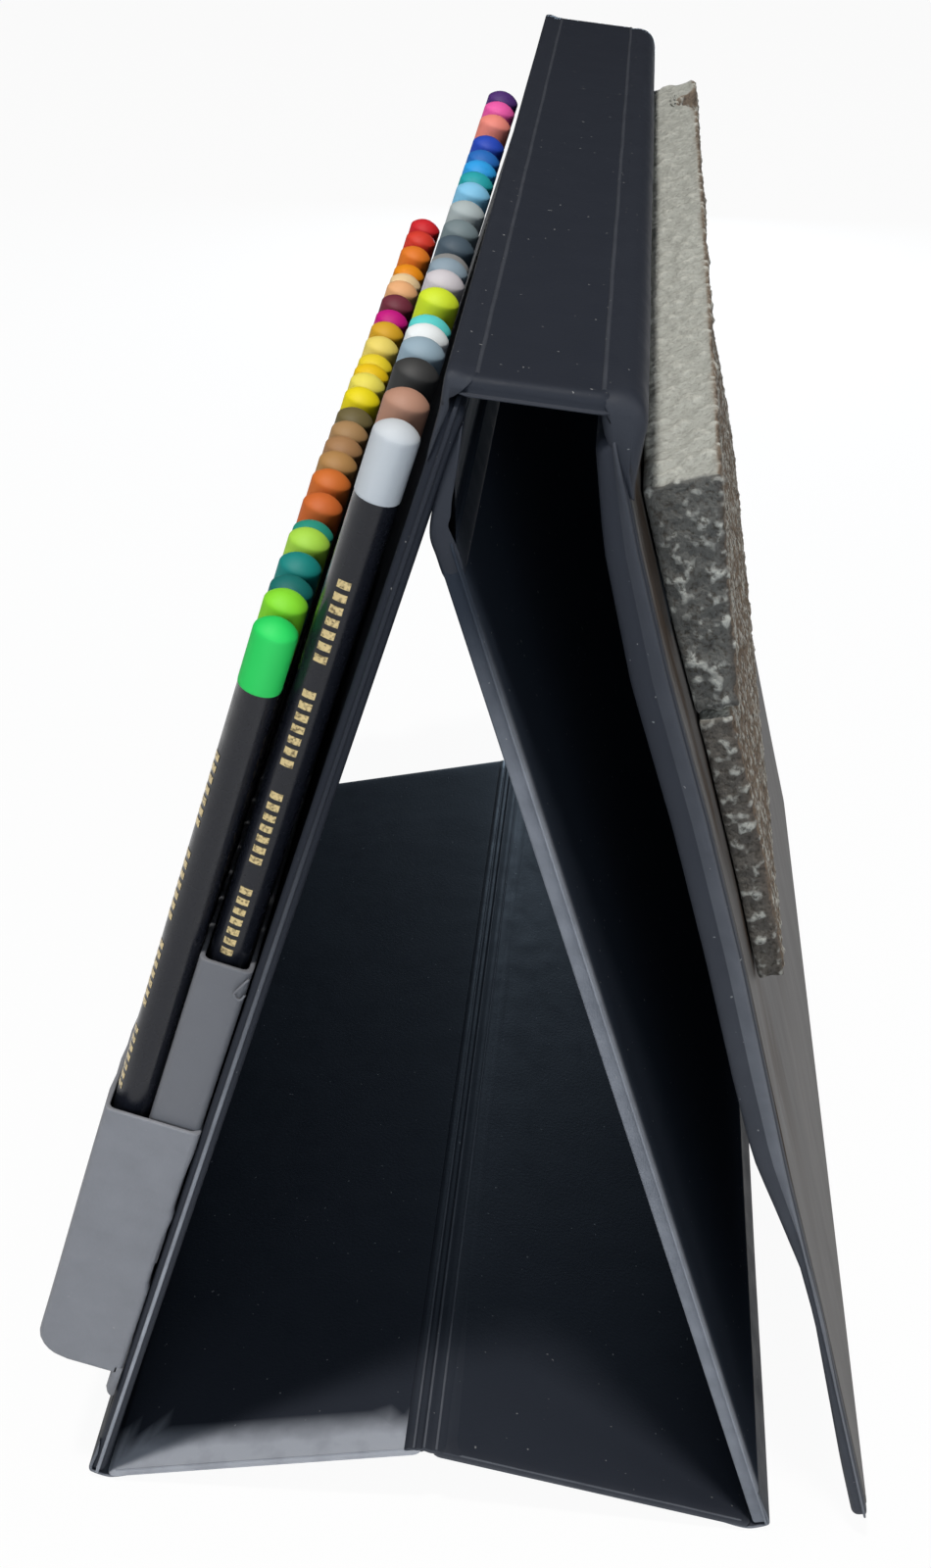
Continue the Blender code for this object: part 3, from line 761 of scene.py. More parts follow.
bending(
    "panel_foot_fold", fold_strip("panel_foot_fold", FOOT_PATH[::-1], FOLD_REACH, 0.5, seed=1),
    "pencil_panel", "base_front", at(PANEL, -3.4, 2.5), at(BASE_FRONT, 2.0, -2.0),
)
bending(
    "crease_fold", fold_strip("crease_fold", CREASE_PATH, CREASE_REACH, 0.12, seed=2),
    "base_front", "base_rear", at(BASE_FRONT, 66.5, -0.3), at(BASE_REAR, 3.5, 1.6),
)
bending(
    "leg_foot_fold_skin",
    fold_strip("leg_foot_fold_skin", LEG_FOOT_PATH[::-1], FOLD_REACH, 0.5, seed=3),
    "base_rear", "easel_leg", at(BASE_REAR, 68.0, 0.0), at(LEG, 3.5, 2.5),
)
bending(
    "spine_fold_skin", closed_strip("spine_fold_skin", SPINE_FOLD, 0.07, 4, end_round=1.5 * MM),
    "pencil_panel", "spine", at(PANEL, -4.2, 255.6), at(SPINE, 1.6, 0.2), "spine_hinge_strip",
)
bending(
    "cover_web", closed_strip("cover_web", WEB, 0.05, 5, end_round=3.0 * MM),
    "spine", "cover", at(SPINE, 24.8, 0.0), at(COVER, 0.4, -9.0), "cover_hinge_strip",
)
leg_hinge = closed_strip("leg_hinge_skin", LEG_TOP, 0.05, 6, end_round=0.8 * MM)
settled(
    "leg_hinge_skin", leg_hinge, [BLACK_VINYL], "pencil_panel", "vinyl_black", "leg_hinge_strip",
)

# %% [markdown]
# ## Weld beads
#
# A pressed weld leaves a fine half-round bead. Every bead here is a straight path that wanders
# a little, swept by a small circle, which is a job for Geometry Nodes: the tree takes bare
# edges, turns them to curves, stirs them and gives them their thickness.

# %% Helpers for geometry trees
def geometry_tree(name, *sizes):
    """A tree that takes a mesh and a number for each named size."""
    tree = bpy.data.node_groups.new(name, "GeometryNodeTree")
    tree.interface.new_socket("Geometry", in_out="INPUT", socket_type="NodeSocketGeometry")
    for size in sizes:
        tree.interface.new_socket(size, in_out="INPUT", socket_type="NodeSocketFloat")
    tree.interface.new_socket("Geometry", in_out="OUTPUT", socket_type="NodeSocketGeometry")
    return tree, tree.nodes.new("NodeGroupInput")


def chain(tree, *steps):
    """Joins the first geometry output of each step to the first geometry input of the next."""
    for before, after in zip(steps, steps[1:]):
        giver = next(out for out in before.outputs if out.type == "GEOMETRY")
        taker = next(socket for socket in after.inputs if socket.type == "GEOMETRY")
        tree.links.new(giver, taker)


def close_tree(tree, last, material):
    """Makes instances real, sets the finish and ends the tree."""
    real = tree.nodes.new("GeometryNodeRealizeInstances")
    dressed = add_node(tree, "GeometryNodeSetMaterial", Material=material)
    chain(tree, last, real, dressed, tree.nodes.new("NodeGroupOutput"))


def as_built(carrier):
    """The mesh that an object's modifiers make of it; the object itself is removed."""
    seen = carrier.evaluated_get(bpy.context.evaluated_depsgraph_get())
    mesh = bpy.data.meshes.new_from_object(seen)
    bpy.data.objects.remove(carrier)
    return mesh


def grown(tree, mesh, **sizes):
    """Runs a tree over a mesh and hands back the result as a plain mesh."""
    carrier = in_scene(tree.name, mesh)
    step = carrier.modifiers.new(tree.name, "NODES")
    step.node_group = tree
    for socket in tree.interface.items_tree:
        if socket.in_out == "INPUT" and socket.name in sizes:
            step[socket.identifier] = sizes[socket.name]
    return as_built(carrier)


def carry(mesh, label, values):
    """Lets a mesh carry a number at each point."""
    mesh.attributes.new(label, "FLOAT", "POINT").data.foreach_set("value", values)


print("Geometry helpers are ready")

# %% A tree for beads
BEAD_SIDES = 8
BEAD_STIR = 60


def stirred(tree, scale, amount):
    """An offset that wanders with place, by an amount from a socket."""
    where = add_node(tree, "GeometryNodeInputPosition").outputs["Position"]
    texture = add_node(tree, "ShaderNodeTexNoise", Vector=where, Scale=scale, Detail=1.0)
    centred = add_node(
        tree, "ShaderNodeVectorMath", operation="SUBTRACT", Vector=texture.outputs["Color"],
    )
    centred.inputs[1].default_value = grey(0.5)
    scaled = add_node(
        tree, "ShaderNodeVectorMath", operation="SCALE", Vector=centred.outputs[0], Scale=amount,
    )
    return scaled.outputs["Vector"]


def bead_tree(material):
    """Takes bare edges and gives round beads."""
    tree, sizes = geometry_tree("weld bead", "Radius", "Step", "Wander")
    given = sizes.outputs
    path = add_node(tree, "GeometryNodeMeshToCurve")
    even = add_node(tree, "GeometryNodeResampleCurve", mode="LENGTH", Length=given["Step"])
    moved = add_node(
        tree, "GeometryNodeSetPosition", Offset=stirred(tree, BEAD_STIR, given["Wander"]),
    )
    ring = add_node(
        tree, "GeometryNodeCurvePrimitiveCircle", Resolution=BEAD_SIDES, Radius=given["Radius"],
    ).outputs["Curve"]
    tube = add_node(tree, "GeometryNodeCurveToMesh", Profile_Curve=ring, Fill_Caps=True)
    chain(tree, sizes, path, even, moved, tube)
    close_tree(tree, tube, material)
    return tree


BEADS = bead_tree(BLACK_VINYL)
print("Bead tree:", len(BEADS.nodes), "nodes")


# %% Beads at the crease, on the spine and round the base
def lines(paths):
    """A mesh of bare edges through each path's points."""
    shape = bmesh.new()
    for path in paths:
        points = [shape.verts.new(point) for point in path]
        for pair in zip(points, points[1:]):
            shape.edges.new(pair)
    return plain_mesh("paths", shape)


def along_width(place, x, z, reach):
    """A line across the case at a place in a board's section."""
    return [at(place, x, z, -reach), at(place, x, z, reach)]


def along_end(place, x_run, z):
    """A line up a board's section at the case's near end."""
    return [at(place, x, z, -138.9) for x in x_run]


def weld(name, paths, radius, wander, wear_and_light_level, body, step=4.0, look=(BLACK_VINYL, "vinyl_black")):
    """A set of beads with its wear and painted light, on a body if one is given."""
    made = grown(BEADS, lines(paths), Radius=radius * MM, Step=step * MM, Wander=wander * MM)
    carry(made, "wear_and_painted_light", [wear_and_light_level] * len(made.vertices))
    print("Beads:", name, len(made.polygons), "faces")
    skin, slot = look
    return settled(name, made, [skin], body, slot)


CREASE_LINES = [
    along_width(BASE_FRONT, 68.0, -0.45, 138.8), along_width(BASE_FRONT, 70.25, -0.50, 138.9),
    along_width(BASE_REAR, 2.1, 1.45, 138.8),
]
crease_beads = weld("crease_welds", CREASE_LINES, 0.30, 0.12, 0.26, None)
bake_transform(crease_beads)
SPINE_LINES = [along_width(SPINE, x, -0.44, 137.0) for x in (3.7, 22.2)]
FRONT_LINE = along_end(BASE_FRONT, (2.0, 67.0), -0.62)
REAR_LINE = along_end(BASE_REAR, (4.0, 68.0), 1.36)
weld("spine_welds", SPINE_LINES, 0.46, 0.30, 0.09, "spine")
# The front base weld is painted bright: a painted highlight along the lit near edge, with some wear.
weld("base_front_weld", [FRONT_LINE], 0.26, 0.12, 0.9, "base_front")
weld("base_rear_weld", [REAR_LINE], 0.26, 0.12, 0.25, "base_rear")

# %% [markdown]
# ## The cover's lining
#
# The cover's inner side wears a second, lighter vinyl. It stops short of the board's rim, lies
# a little loose, and the old foam has stained it with brown runs. It is one thin sheet that
# follows the board's bow, with a `stain` attribute that is strongest beside the foam.

# %% Lining of the cover
LINING_INSET = 2.3 * MM
LINING_THICK = 0.34 * MM
LINING_CORNER = 2 * MM
LINING_LOOSE = (0.0, 10 * MM, 0.30 * MM, 30, 16)
LINING_PROFILE = ((0.0, -0.5), (0.0, 0.45), (0.12, 0.85), (0.4, 1.0), (1.2, 0.95))
LINING_COLOUR = (0.095, 0.090, 0.088)
STAINED = (0.038, 0.025, 0.017)
STAIN_TOP = -118.0
STAIN_RUN = 75.0
STREAK_SCALE = 75
PATCH_SCALE = 60
LINING_PEBBLE = 1300


def lining_vinyl():
    """A lighter vinyl, brown in runs where the sheet carries a stain."""
    made, tree, shader = finish("lining vinyl", LINING_COLOUR, 0.55, Specular_IOR_Level=0.1)
    runs = noise_at(tree, STREAK_SCALE, 3, stretch=(1, 1, 0.06))
    patches = noise_at(tree, PATCH_SCALE, 2, stretch=(1, 1, 0.3))
    streaks = ramp(tree, runs, (0.44, 0.0), (0.58, 1.0))
    share = number(tree, "MULTIPLY", carried(tree, "stain"), streaks)
    tone = ramp(tree, patches, (0.3, shade(LINING_COLOUR, 0.80)), (0.7, shade(LINING_COLOUR, 1.12)))
    fill(tree, shader, Base_Color=mixed(tree, share, tone, STAINED))
    pebble = noise_at(tree, LINING_PEBBLE, 2)
    bump(tree, shader, (pebble, 0.2, 0.0002), (patches, 0.35, 0.0015))
    return made


def cover_lining():
    """One thin sheet over the cover's inner side, with its stain."""
    low, high = local_box("cover", COVER)
    middle = (low + high) / 2
    width, length = high.y - low.y - 2 * LINING_INSET, high.z - low.z - 2 * LINING_INSET
    counts = (round(width / CONTOUR_STEP), round(length / CONTOUR_STEP), 4)
    shape, stain = new_shape("stain")
    face = high.x - 0.12 * MM
    profile = [(inset * MM, height * LINING_THICK) for inset, height in LINING_PROFILE]
    profile += [
        (step * MM, 0.8 * LINING_THICK) for step in SAG_STEPS if step * MM < length / 2 - MIDDLE_GAP
    ]
    loops = []
    for inset, height in profile:
        loop = []
        for across, up in contour(width, length, LINING_CORNER, inset, counts):
            z = middle.z + up
            slack = sag(across, up, inset, 11.3, LINING_LOOSE)
            vertex = shape.verts.new((face + cover_bow(across, z) + height - slack, across, z))
            vertex[stain] = 0.95 * (1 - eased((STAIN_TOP - z / MM) / STAIN_RUN)) + 0.10
            loop.append(vertex)
        loops.append(loop)
    join_loops(shape, *loops)
    shape.faces.new(loops[-1])
    shape.faces.new(loops[0][::-1])
    shape.transform(COVER)
    mesh = as_mesh("cover_lining", shape)
    return settled("cover_lining", mesh, [lining_vinyl()], "cover", "vinyl_grey")


print("Lining:", len(cover_lining().data.polygons), "faces")

# %% [markdown]
# ## Foam bars
#
# Old open-cell foam has crumbled into soft blobs, grey where it is clean and brown where it has
# aged. The section is drawn along the case and remeshed into even, tiny faces. Then a geometry
# tree pushes the faces in and out by noise, and the shader reads the same noise at the same
# scale, so that a painted highlight lies on each bump. The pits carry painted shade, less on the
# lit top, and the near end is painted darker, as in shade.

# %% Foam finish and foam tree
BLOB_SCALE = 420
SWAY_SCALE = 45
GRAIN_SCALE = 1150
FOAM_FACE = 0.85 * MM
BLOB_HIGHLIGHT_COLOUR = (0.46, 0.46, 0.42)
PIT_SHADE_COLOUR = (0.050, 0.043, 0.036)


def foam(name, clean, aged, dark):
    """Open-cell foam that ages where its mesh says so, with painted shade on its near end and in its
    pits and a painted highlight on its bumps.
    """
    made, tree, shader = finish(name, clean, 0.95, Specular_IOR_Level=0.15)
    blobs = noise_at(tree, BLOB_SCALE, 1)
    grain = noise_at(tree, GRAIN_SCALE, 3)
    colour = mixed(tree, carried(tree, "aged"), clean, aged)
    # Painted shade: the near end's faces are painted darker.
    colour = mixed(tree, carried(tree, "painted_light"), colour, dark)
    # Painted highlight: the blobs are painted lighter where the tree pushes the bumps out.
    lit = ramp(tree, blobs, (0.55, 0.0), (0.68, 0.75))
    bright = mixed(tree, lit, colour, BLOB_HIGHLIGHT_COLOUR)
    # Painted shade: the pits are darkened by the piece's pit_shade attribute.
    pits = ramp(tree, grain, (0.34, 0.80), (0.50, 0.0))
    pits = number(tree, "MULTIPLY", pits, carried(tree, "pit_shade"))
    fill(tree, shader, Base_Color=mixed(tree, pits, bright, PIT_SHADE_COLOUR))
    bump(tree, shader, (grain, 0.55, 0.0009))
    return made


def foam_tree(material):
    """Pushes a bar's faces in and out by two noises, where the bar is free."""
    tree, sizes = geometry_tree("foam", "Blob", "Sway")
    where = add_node(tree, "GeometryNodeInputPosition").outputs["Position"]
    normal = add_node(tree, "GeometryNodeInputNormal").outputs["Normal"]
    free = add_node(tree, "GeometryNodeInputNamedAttribute", data_type="FLOAT", Name="free")
    free = next(out for out in free.outputs if out.enabled)
    pushes = []
    for scale, amount, floor in ((BLOB_SCALE, "Blob", 0.56), (SWAY_SCALE, "Sway", 0.60)):
        texture = add_node(tree, "ShaderNodeTexNoise", Vector=where, Scale=scale, Detail=1.0)
        raised = number(tree, "SUBTRACT", texture.outputs[0], floor)
        pushes.append(number(tree, "MULTIPLY", raised, sizes.outputs[amount]))
    total = number(tree, "MULTIPLY", number(tree, "ADD", *pushes), free)
    offset = add_node(tree, "ShaderNodeVectorMath", operation="SCALE", Vector=normal, Scale=total)
    moved = add_node(tree, "GeometryNodeSetPosition", Offset=offset.outputs["Vector"])
    chain(tree, sizes, moved)
    close_tree(tree, moved, material)
    return tree


FOAM = foam("foam", (0.36, 0.365, 0.335), (0.160, 0.120, 0.088), (0.062, 0.060, 0.057))
FOAM_TREE = foam_tree(FOAM)
print("Foam tree:", len(FOAM_TREE.nodes), "nodes")


# %% Shape the two foam bars
FOAM_SEAT = -2.15
FOAM_NEAR = -119.6
FOAM_FAR = 135.6
FOAM_RISE = 7.0
FOAM_SWAY = 0.8 * MM
FOAM_EDGE_TURN = 1.6
AGED_BELOW = -66
NOTCH_START = 104
NOTCH_END = 126
THICK_SECTION = (
    (FOAM_SEAT, -21.6), (FOAM_SEAT, -64.0), (5.2, -64.0), (6.8, -53.6), (10.9, -21.6),
)
THIN_SECTION = ((FOAM_SEAT, -65.1), (FOAM_SEAT, -121.0), (3.1, -121.0), (3.8, -65.1))


def even_bar(section, rise):
    """A bar along the case with even, tiny faces, still square in the cover's frame."""
    shape = bmesh.new()
    middle = sum(z for x, z in section) / len(section)
    ends = []
    for y, lift in ((FOAM_NEAR, 0), (FOAM_FAR, rise)):
        places = [(x, y, z + (lift if z > middle else 0)) for x, z in section]
        ends.append([shape.verts.new((x * MM, y * MM, z * MM)) for x, y, z in places])
    close_stack(shape, ends)
    carrier = in_scene("bar", as_mesh("bar", shape))
    step = carrier.modifiers.new("even faces", "REMESH")
    step.mode = "VOXEL"
    step.voxel_size = FOAM_FACE
    return as_built(carrier)


def foam_bar(name, node, section, rise, bite, end_tone, blob):
    """A crumbled bar of foam on the cover, with its ages and its painted shade carried by attributes.
    """
    mesh = even_bar(section, rise)
    free, aged, painted_light, pit_shade = [], [], [], []
    face = max(x for x, z in section)
    for vertex, normal in zip(mesh.vertices, mesh.vertex_normals):
        x, y, z = (value / MM for value in vertex.co)
        outer = eased(normal.vector.x * FOAM_EDGE_TURN)
        near = eased(-normal.vector.y * FOAM_EDGE_TURN)
        top = eased(normal.vector.z * FOAM_EDGE_TURN)
        free.append(min(1.0, max(0.0, (x - FOAM_SEAT) / 1.2)))
        aged.append(min(1.0, outer * 0.95 + near * end_tone[0] + 0.15 * (z < AGED_BELOW)))
        # Painted shade on the near end, by the second share of end_tone.
        painted_light.append(min(1.0, near * end_tone[1]))
        # Painted shade in the pits, cut back on the top faces, where the light falls.
        pit_shade.append(1.0 - 0.75 * top)
        torn = bite * eased((y - NOTCH_START) / 10) * eased((NOTCH_END - y) / 8)
        torn = torn * eased((x - face + 6) / 4) * eased((z + 32) / 8)
        far = eased((y - FOAM_NEAR) / 150)
        thinned = far * 0.26 * max(0, x) * eased((section[0][1] - z) / 16) if bite else 0
        vertex.co.x += cover_bow(vertex.co.y, vertex.co.z) - (torn + thinned) * MM
    for label, values in (("free", free), ("aged", aged), ("painted_light", painted_light), ("pit_shade", pit_shade)):
        carry(mesh, label, values)
    mesh.transform(COVER)
    made = grown(FOAM_TREE, mesh, Blob=blob * MM, Sway=FOAM_SWAY)
    piece = settled(name, made, [FOAM], "cover", node_slots[node], node)
    print("Foam:", name, len(made.polygons), "faces")


node_slots = {part["node"]: part["material_slot"] for part in frame["record"]["subparts"]}
foam_bar("thick_foam", "foam_bar_thick", THICK_SECTION, FOAM_RISE, 4.5, (0.10, 0.84), 2.4)
foam_bar("thin_foam", "foam_bar_thin", THIN_SECTION, 0.0, 0.0, (0.6, 0.72), 2.0)

# %% [markdown]
# ## Pockets
#
# Each pocket is a grey vinyl pouch: a front wall, two end walls and a rounded foot, welded to
# the panel by a flange. Seen from above it is a long rounded rectangle, so the pouch is a stack
# of such contours from foot to mouth, then down again inside by the wall's thickness. The front
# wall swells softly over each pencil, and at the back two slits show where the weld has let go.

# %% Pouches
POUCH_WALL = 0.9
POUCH_CORNER = 1.2 * MM
POUCH_COUNTS = (64, 4, 3)
POUCH_HEIGHTS = (
    0.0, 0.5, 1.2, 2.2, 3.6, 5.2, 7, 10, 15, 20, 25.4, 27.2, 30, 34, 38, 42, 44, 46.2, 47.4, 49.2,
    52, 56, 60, 63, 64.2, 67,
)
FOOT_TURN = 6.0
FLANGE_DROP = 7.5
LOWER_SLITS = ((57.0, 77.5, 0.45), (79.0, 95.5, 0.35))


def pouch(name, node, front, back, reach, foot, mouth, pitch, slits, wear_and_light_level):
    """A pouch from its front, back, half width, foot and mouth, all in the panel's frame."""
    shape, wear_and_painted_light = new_shape()
    heights = [foot + rise for rise in POUCH_HEIGHTS if foot + rise < mouth - 1.0]
    heights += [mouth - 0.9, mouth - 0.35, mouth - 0.1]

    def ring(height, inset):
        """The wall's loop of points at a height."""
        rise = height - foot
        turn = FOOT_TURN - inset
        round_foot = turn - math.sqrt(max(0, turn ** 2 - max(0, turn - rise) ** 2))
        slit = 0.0
        for low, high, depth in slits:
            if low < height < high:
                slit = depth * min(1, (height - low) / 1.5, (high - height) / 6)
        ahead, behind = front + inset + round_foot, back - inset - slit
        depth, middle = behind - ahead, (ahead + behind) / 2
        spots = contour(2 * (reach - inset) * MM, depth * MM, POUCH_CORNER, 0, POUCH_COUNTS)
        loop = []
        for across, out in spots:
            swell = 0.0
            if out < 0 and inset == 0:
                swell = 0.12 * math.cos(math.tau * across / MM / pitch) * min(1, rise / 20)
                swell += 0.14 * noise.noise(Vector((across * 40, height * 0.03, 2.2)))
            vertex = shape.verts.new((middle * MM + out - swell * MM, across, height * MM))
            vertex[wear_and_painted_light] = wear_and_light_level
            loop.append(vertex)
        return loop

    outer = [ring(height, 0.0) for height in heights]
    lip = [ring(mouth, 0.25), ring(mouth, 0.65), ring(mouth - 0.1, 0.82)]
    inner = [
        ring(height, POUCH_WALL) for height in heights[::-1] if foot + 1.1 < height < mouth - 0.3
    ]
    close_stack(shape, outer + lip + inner)
    add_flange(shape, wear_and_painted_light, back, reach, foot, wear_and_light_level * 0.7)
    shape.transform(PANEL)
    return settled(name, as_mesh(name, shape), [GREY_VINYL], "pencil_panel", "vinyl_grey", node)


def add_flange(shape, wear_and_painted_light, back, reach, foot, wear_and_light_level):
    """The welded flange below a pouch: a thin lobe with a rounded lower edge."""
    low = foot - FLANGE_DROP
    section = (
        (-2.0, foot + 1.5), (-2.1, foot - 0.5), (-1.9, foot - 2.5), (-2.1, low + 2.2),
        (-1.5, low + 0.5), (-0.7, low), (0.0, low + 0.6), (0.0, foot + 1.5),
    )
    loops = []
    for y in (-reach, -reach + 0.4, -reach * 0.5, 0, reach * 0.5, reach - 0.4, reach):
        squeeze = 0.75 if abs(y) == reach else 1.0
        loop = [shape.verts.new(((back + x * squeeze) * MM, y * MM, z * MM)) for x, z in section]
        for vertex in loop:
            vertex[wear_and_painted_light] = wear_and_light_level
        loops.append(loop)
    close_stack(shape, loops)


# Painted light and shade: the lower pouch is painted much lighter and the upper one darker, the same
# grey vinyl as lit and as in shade.
pouches = (
    pouch("upper_pouch", "upper_pocket", -13.6, -3.75, 138.2, 71.5, 141.2, 10.7, (), 0.12),
    pouch("lower_pouch", "lower_pocket", -22.2, -3.55, 139.4, 31.5, 101.6, 8.4, LOWER_SLITS, 0.72),
)
print("Pouches:", [len(made.data.polygons) for made in pouches], "faces")

# %% A weld that has come loose at the upper pouch
LOOSE_LOOP = (
    (-4.1, 140.2, -138.5), (-5.2, 138.0, -138.9), (-6.0, 136.3, -138.9), (-5.2, 135.5, -138.9),
    (-4.4, 135.0, -138.8), (-3.9, 136.6, -138.6),
)
weld(
    "loose_weld", [[at(PANEL, *place) for place in LOOSE_LOOP]], 0.24, 0.0, 0.3, "pencil_panel",
    step=1.0, look=(GREY_VINYL, "vinyl_grey"),
)

# %% [markdown]
# ## Pencils
#
# A coloured pencil is turned: one profile spun about its axis gives lacquered barrel, dipped
# cap, sharpened wood and core. The dip is a hair thicker than the lacquer and ends in a soft
# shoulder. Each pencil takes its length and its place from its CAD node.

# %% Paint, lacquer, wood and foil
MOTTLE_SCALE = 420
CAP_WAVE_SCALE = 260
SMUDGE_SCALE = 300
LACQUER_WAVE_SCALE = 500
WOOD_PATTERN = (700, 4, (1, 1, 0.08))
FOIL_PATTERN = (1800, 3)


def paint(name, colour):
    """A dipped, glossy paint with a faint mottle."""
    made, tree, shader = finish(name, colour, 0.34, Coat_Weight=1.0, Coat_Roughness=0.05)
    mottle = noise_at(tree, MOTTLE_SCALE, 3)
    tone = ramp(tree, mottle, (0.3, shade(colour, 0.88)), (0.7, shade(colour, 1.05, 0.003)))
    fill(tree, shader, Base_Color=tone)
    bump(tree, shader, (noise_at(tree, CAP_WAVE_SCALE, 1), 0.10, 0.0004))
    return made


def lacquer():
    """The barrels' black, smudged by fingers."""
    made, tree, shader = finish(
        "black lacquer", (0.010, 0.011, 0.016), 0.24, Specular_IOR_Level=0.3,
    )
    smudge = noise_at(tree, SMUDGE_SCALE, 4)
    fill(tree, shader, Roughness=ramp(tree, smudge, (0.3, 0.18), (0.7, 0.34)))
    bump(tree, shader, (noise_at(tree, LACQUER_WAVE_SCALE, 2), 0.06, 0.0003))
    return made


def toned(name, colour, roughness, pattern, dark, light, **sockets):
    """A finish whose colour runs between two tones by a noise of its own."""
    made, tree, shader = finish(name, colour, roughness, **sockets)
    fill(tree, shader, Base_Color=ramp(tree, noise_at(tree, *pattern), dark, light))
    return made


LACQUER = lacquer()
CEDAR = toned(
    "cedar", (0.42, 0.23, 0.12), 0.7, WOOD_PATTERN,
    (0.3, (0.30, 0.15, 0.07)), (0.7, (0.52, 0.31, 0.17)),
)
FOIL = toned(
    "gold foil", (0.62, 0.48, 0.22), 0.32, FOIL_PATTERN,
    (0.34, (0.16, 0.12, 0.06)), (0.52, (0.66, 0.52, 0.26)), Metallic=0.6,
)
slots = {material["slot"]: material for material in frame["record"]["materials"]}
print("Cap colours:", sum(name.startswith("cap_") for name in slots))

# %% Turn a pencil
PENCIL_SIDES = 28
PENCIL_RADIUS = 3.75 * MM
DIP = 12.5 * MM
DIP_STEP = 0.1 * MM
DOME_BALL = 4.7 * MM
DOME_REACH = 3.6 * MM
DOME_RINGS = 8
CONE = 20 * MM
CORE_END = 6 * MM
CORE_RADIUS = 1.7 * MM
UP = (PANEL.to_3x3() @ Vector((0, 0, 1))).normalized()


def pencil_profile(length, radius):
    """(radius, height, finish index) from the dome's pole down to the point."""
    barrel = radius - DIP_STEP
    rows = []
    for ring in range(1, DOME_RINGS + 1):
        spread = DOME_REACH * ring / DOME_RINGS
        rows.append((spread, length - DOME_BALL + math.sqrt(DOME_BALL ** 2 - spread ** 2), 0))
    rows += [(radius - 0.02 * MM, length - 2.0 * MM, 0), (radius, length - 2.5 * MM, 0)]
    dip_end = length - DIP
    rows += [(radius, dip_end + 0.5 * MM, 0), (radius - 0.02 * MM, dip_end + 0.15 * MM, 0)]
    rows += [(barrel, dip_end, 1), (barrel, length / 2, 1), (barrel, CONE, 1)]
    rows += [(barrel - 0.02 * MM, CONE - 0.05 * MM, 2), (CORE_RADIUS, CORE_END, 3)]
    rows += [(0.5 * MM, 0.7 * MM, 3), (0.3 * MM, 0.3 * MM, 3)]
    return rows


def turned_pencil(length):
    """A pencil standing on its point at the origin."""
    shape = bmesh.new()
    rows = pencil_profile(length, PENCIL_RADIUS)
    top = shape.verts.new((0, 0, length - 0.05 * MM))
    point = shape.verts.new((0, 0, 0))
    turns = [math.tau * side / PENCIL_SIDES for side in range(PENCIL_SIDES)]
    loops = [
        [shape.verts.new((spread * math.cos(turn), spread * math.sin(turn), height)) for turn in turns]
        for spread, height, kind in rows
    ]
    for side in range(PENCIL_SIDES):
        after = (side + 1) % PENCIL_SIDES
        shape.faces.new((top, loops[0][side], loops[0][after]))
        shape.faces.new((loops[-1][side], point, loops[-1][after])).material_index = 3
    for loop, ahead, row in zip(loops, loops[1:], rows):
        for side in range(PENCIL_SIDES):
            after = (side + 1) % PENCIL_SIDES
            face = shape.faces.new((loop[side], ahead[side], ahead[after], loop[after]))
            face.material_index = row[2]
    bmesh.ops.recalc_face_normals(shape, faces=shape.faces)
    return shape


print("Pencil profile:", len(pencil_profile(0.175, PENCIL_RADIUS)), "rings")

# %% [markdown]
# ## Foil ticks
#
# A plain stamp of gold foil dresses each barrel: a row of short ticks. One tick is a small grid
# wrapped round the barrel, instanced on a line of points by Geometry Nodes. Seven of every nine
# points are kept, so that the row reads as a stamp.

# %% Foil ticks on the barrel
TICK_POINTS = 34
TICK_GROUP = 9
TICKS_KEPT = 7
TICK_PITCH = 2.3 * MM
TICK_LENGTH = 1.4 * MM
TICK_TURN = 0.62
TICK_RADIUS = 3.69 * MM


def tick_tree(material):
    """A row of small plates, each wrapped round the barrel."""
    tree = geometry_tree("foil ticks")[0]
    plate = add_node(
        tree, "GeometryNodeMeshGrid", Size_X=TICK_LENGTH, Size_Y=TICK_TURN, Vertices_X=2, Vertices_Y=5,
    )
    where = add_node(tree, "GeometryNodeInputPosition").outputs["Position"]
    flat = add_node(tree, "ShaderNodeSeparateXYZ", Vector=where).outputs
    x, y = (
        number(tree, "MULTIPLY", number(tree, wave, flat["Y"]), TICK_RADIUS)
        for wave in ("COSINE", "SINE")
    )
    curved = add_node(tree, "ShaderNodeCombineXYZ", X=x, Y=y, Z=flat["X"]).outputs["Vector"]
    wrapped = add_node(tree, "GeometryNodeSetPosition", Position=curved)
    chain(tree, plate, wrapped)
    row = add_node(
        tree, "GeometryNodeMeshLine", mode="OFFSET", Count=TICK_POINTS, Offset=(0, 0, TICK_PITCH),
    )
    index = add_node(tree, "GeometryNodeInputIndex").outputs[0]
    place = number(tree, "MODULO", index, TICK_GROUP)
    placed = add_node(
        tree, "GeometryNodeInstanceOnPoints", Instance=wrapped.outputs["Geometry"],
        Selection=number(tree, "LESS_THAN", place, TICKS_KEPT - 0.5),
    )
    chain(tree, row, placed)
    close_tree(tree, placed, material)
    return tree


TICKS = grown(tick_tree(FOIL), bpy.data.meshes.new("start"))
print("Foil ticks:", len(TICKS.polygons), "faces")


# %% Stand every pencil in its place
STAMP_DROP = 103 * MM
STAMP_TURN = {"rear": -1.75, "front": -2.75}
VIVID = {
    "cap_teal_cyan": (0.0, 0.50, 0.62),
    "cap_sky_blue": (0.01, 0.38, 0.66),
    "cap_salmon": (0.86, 0.33, 0.21),
}


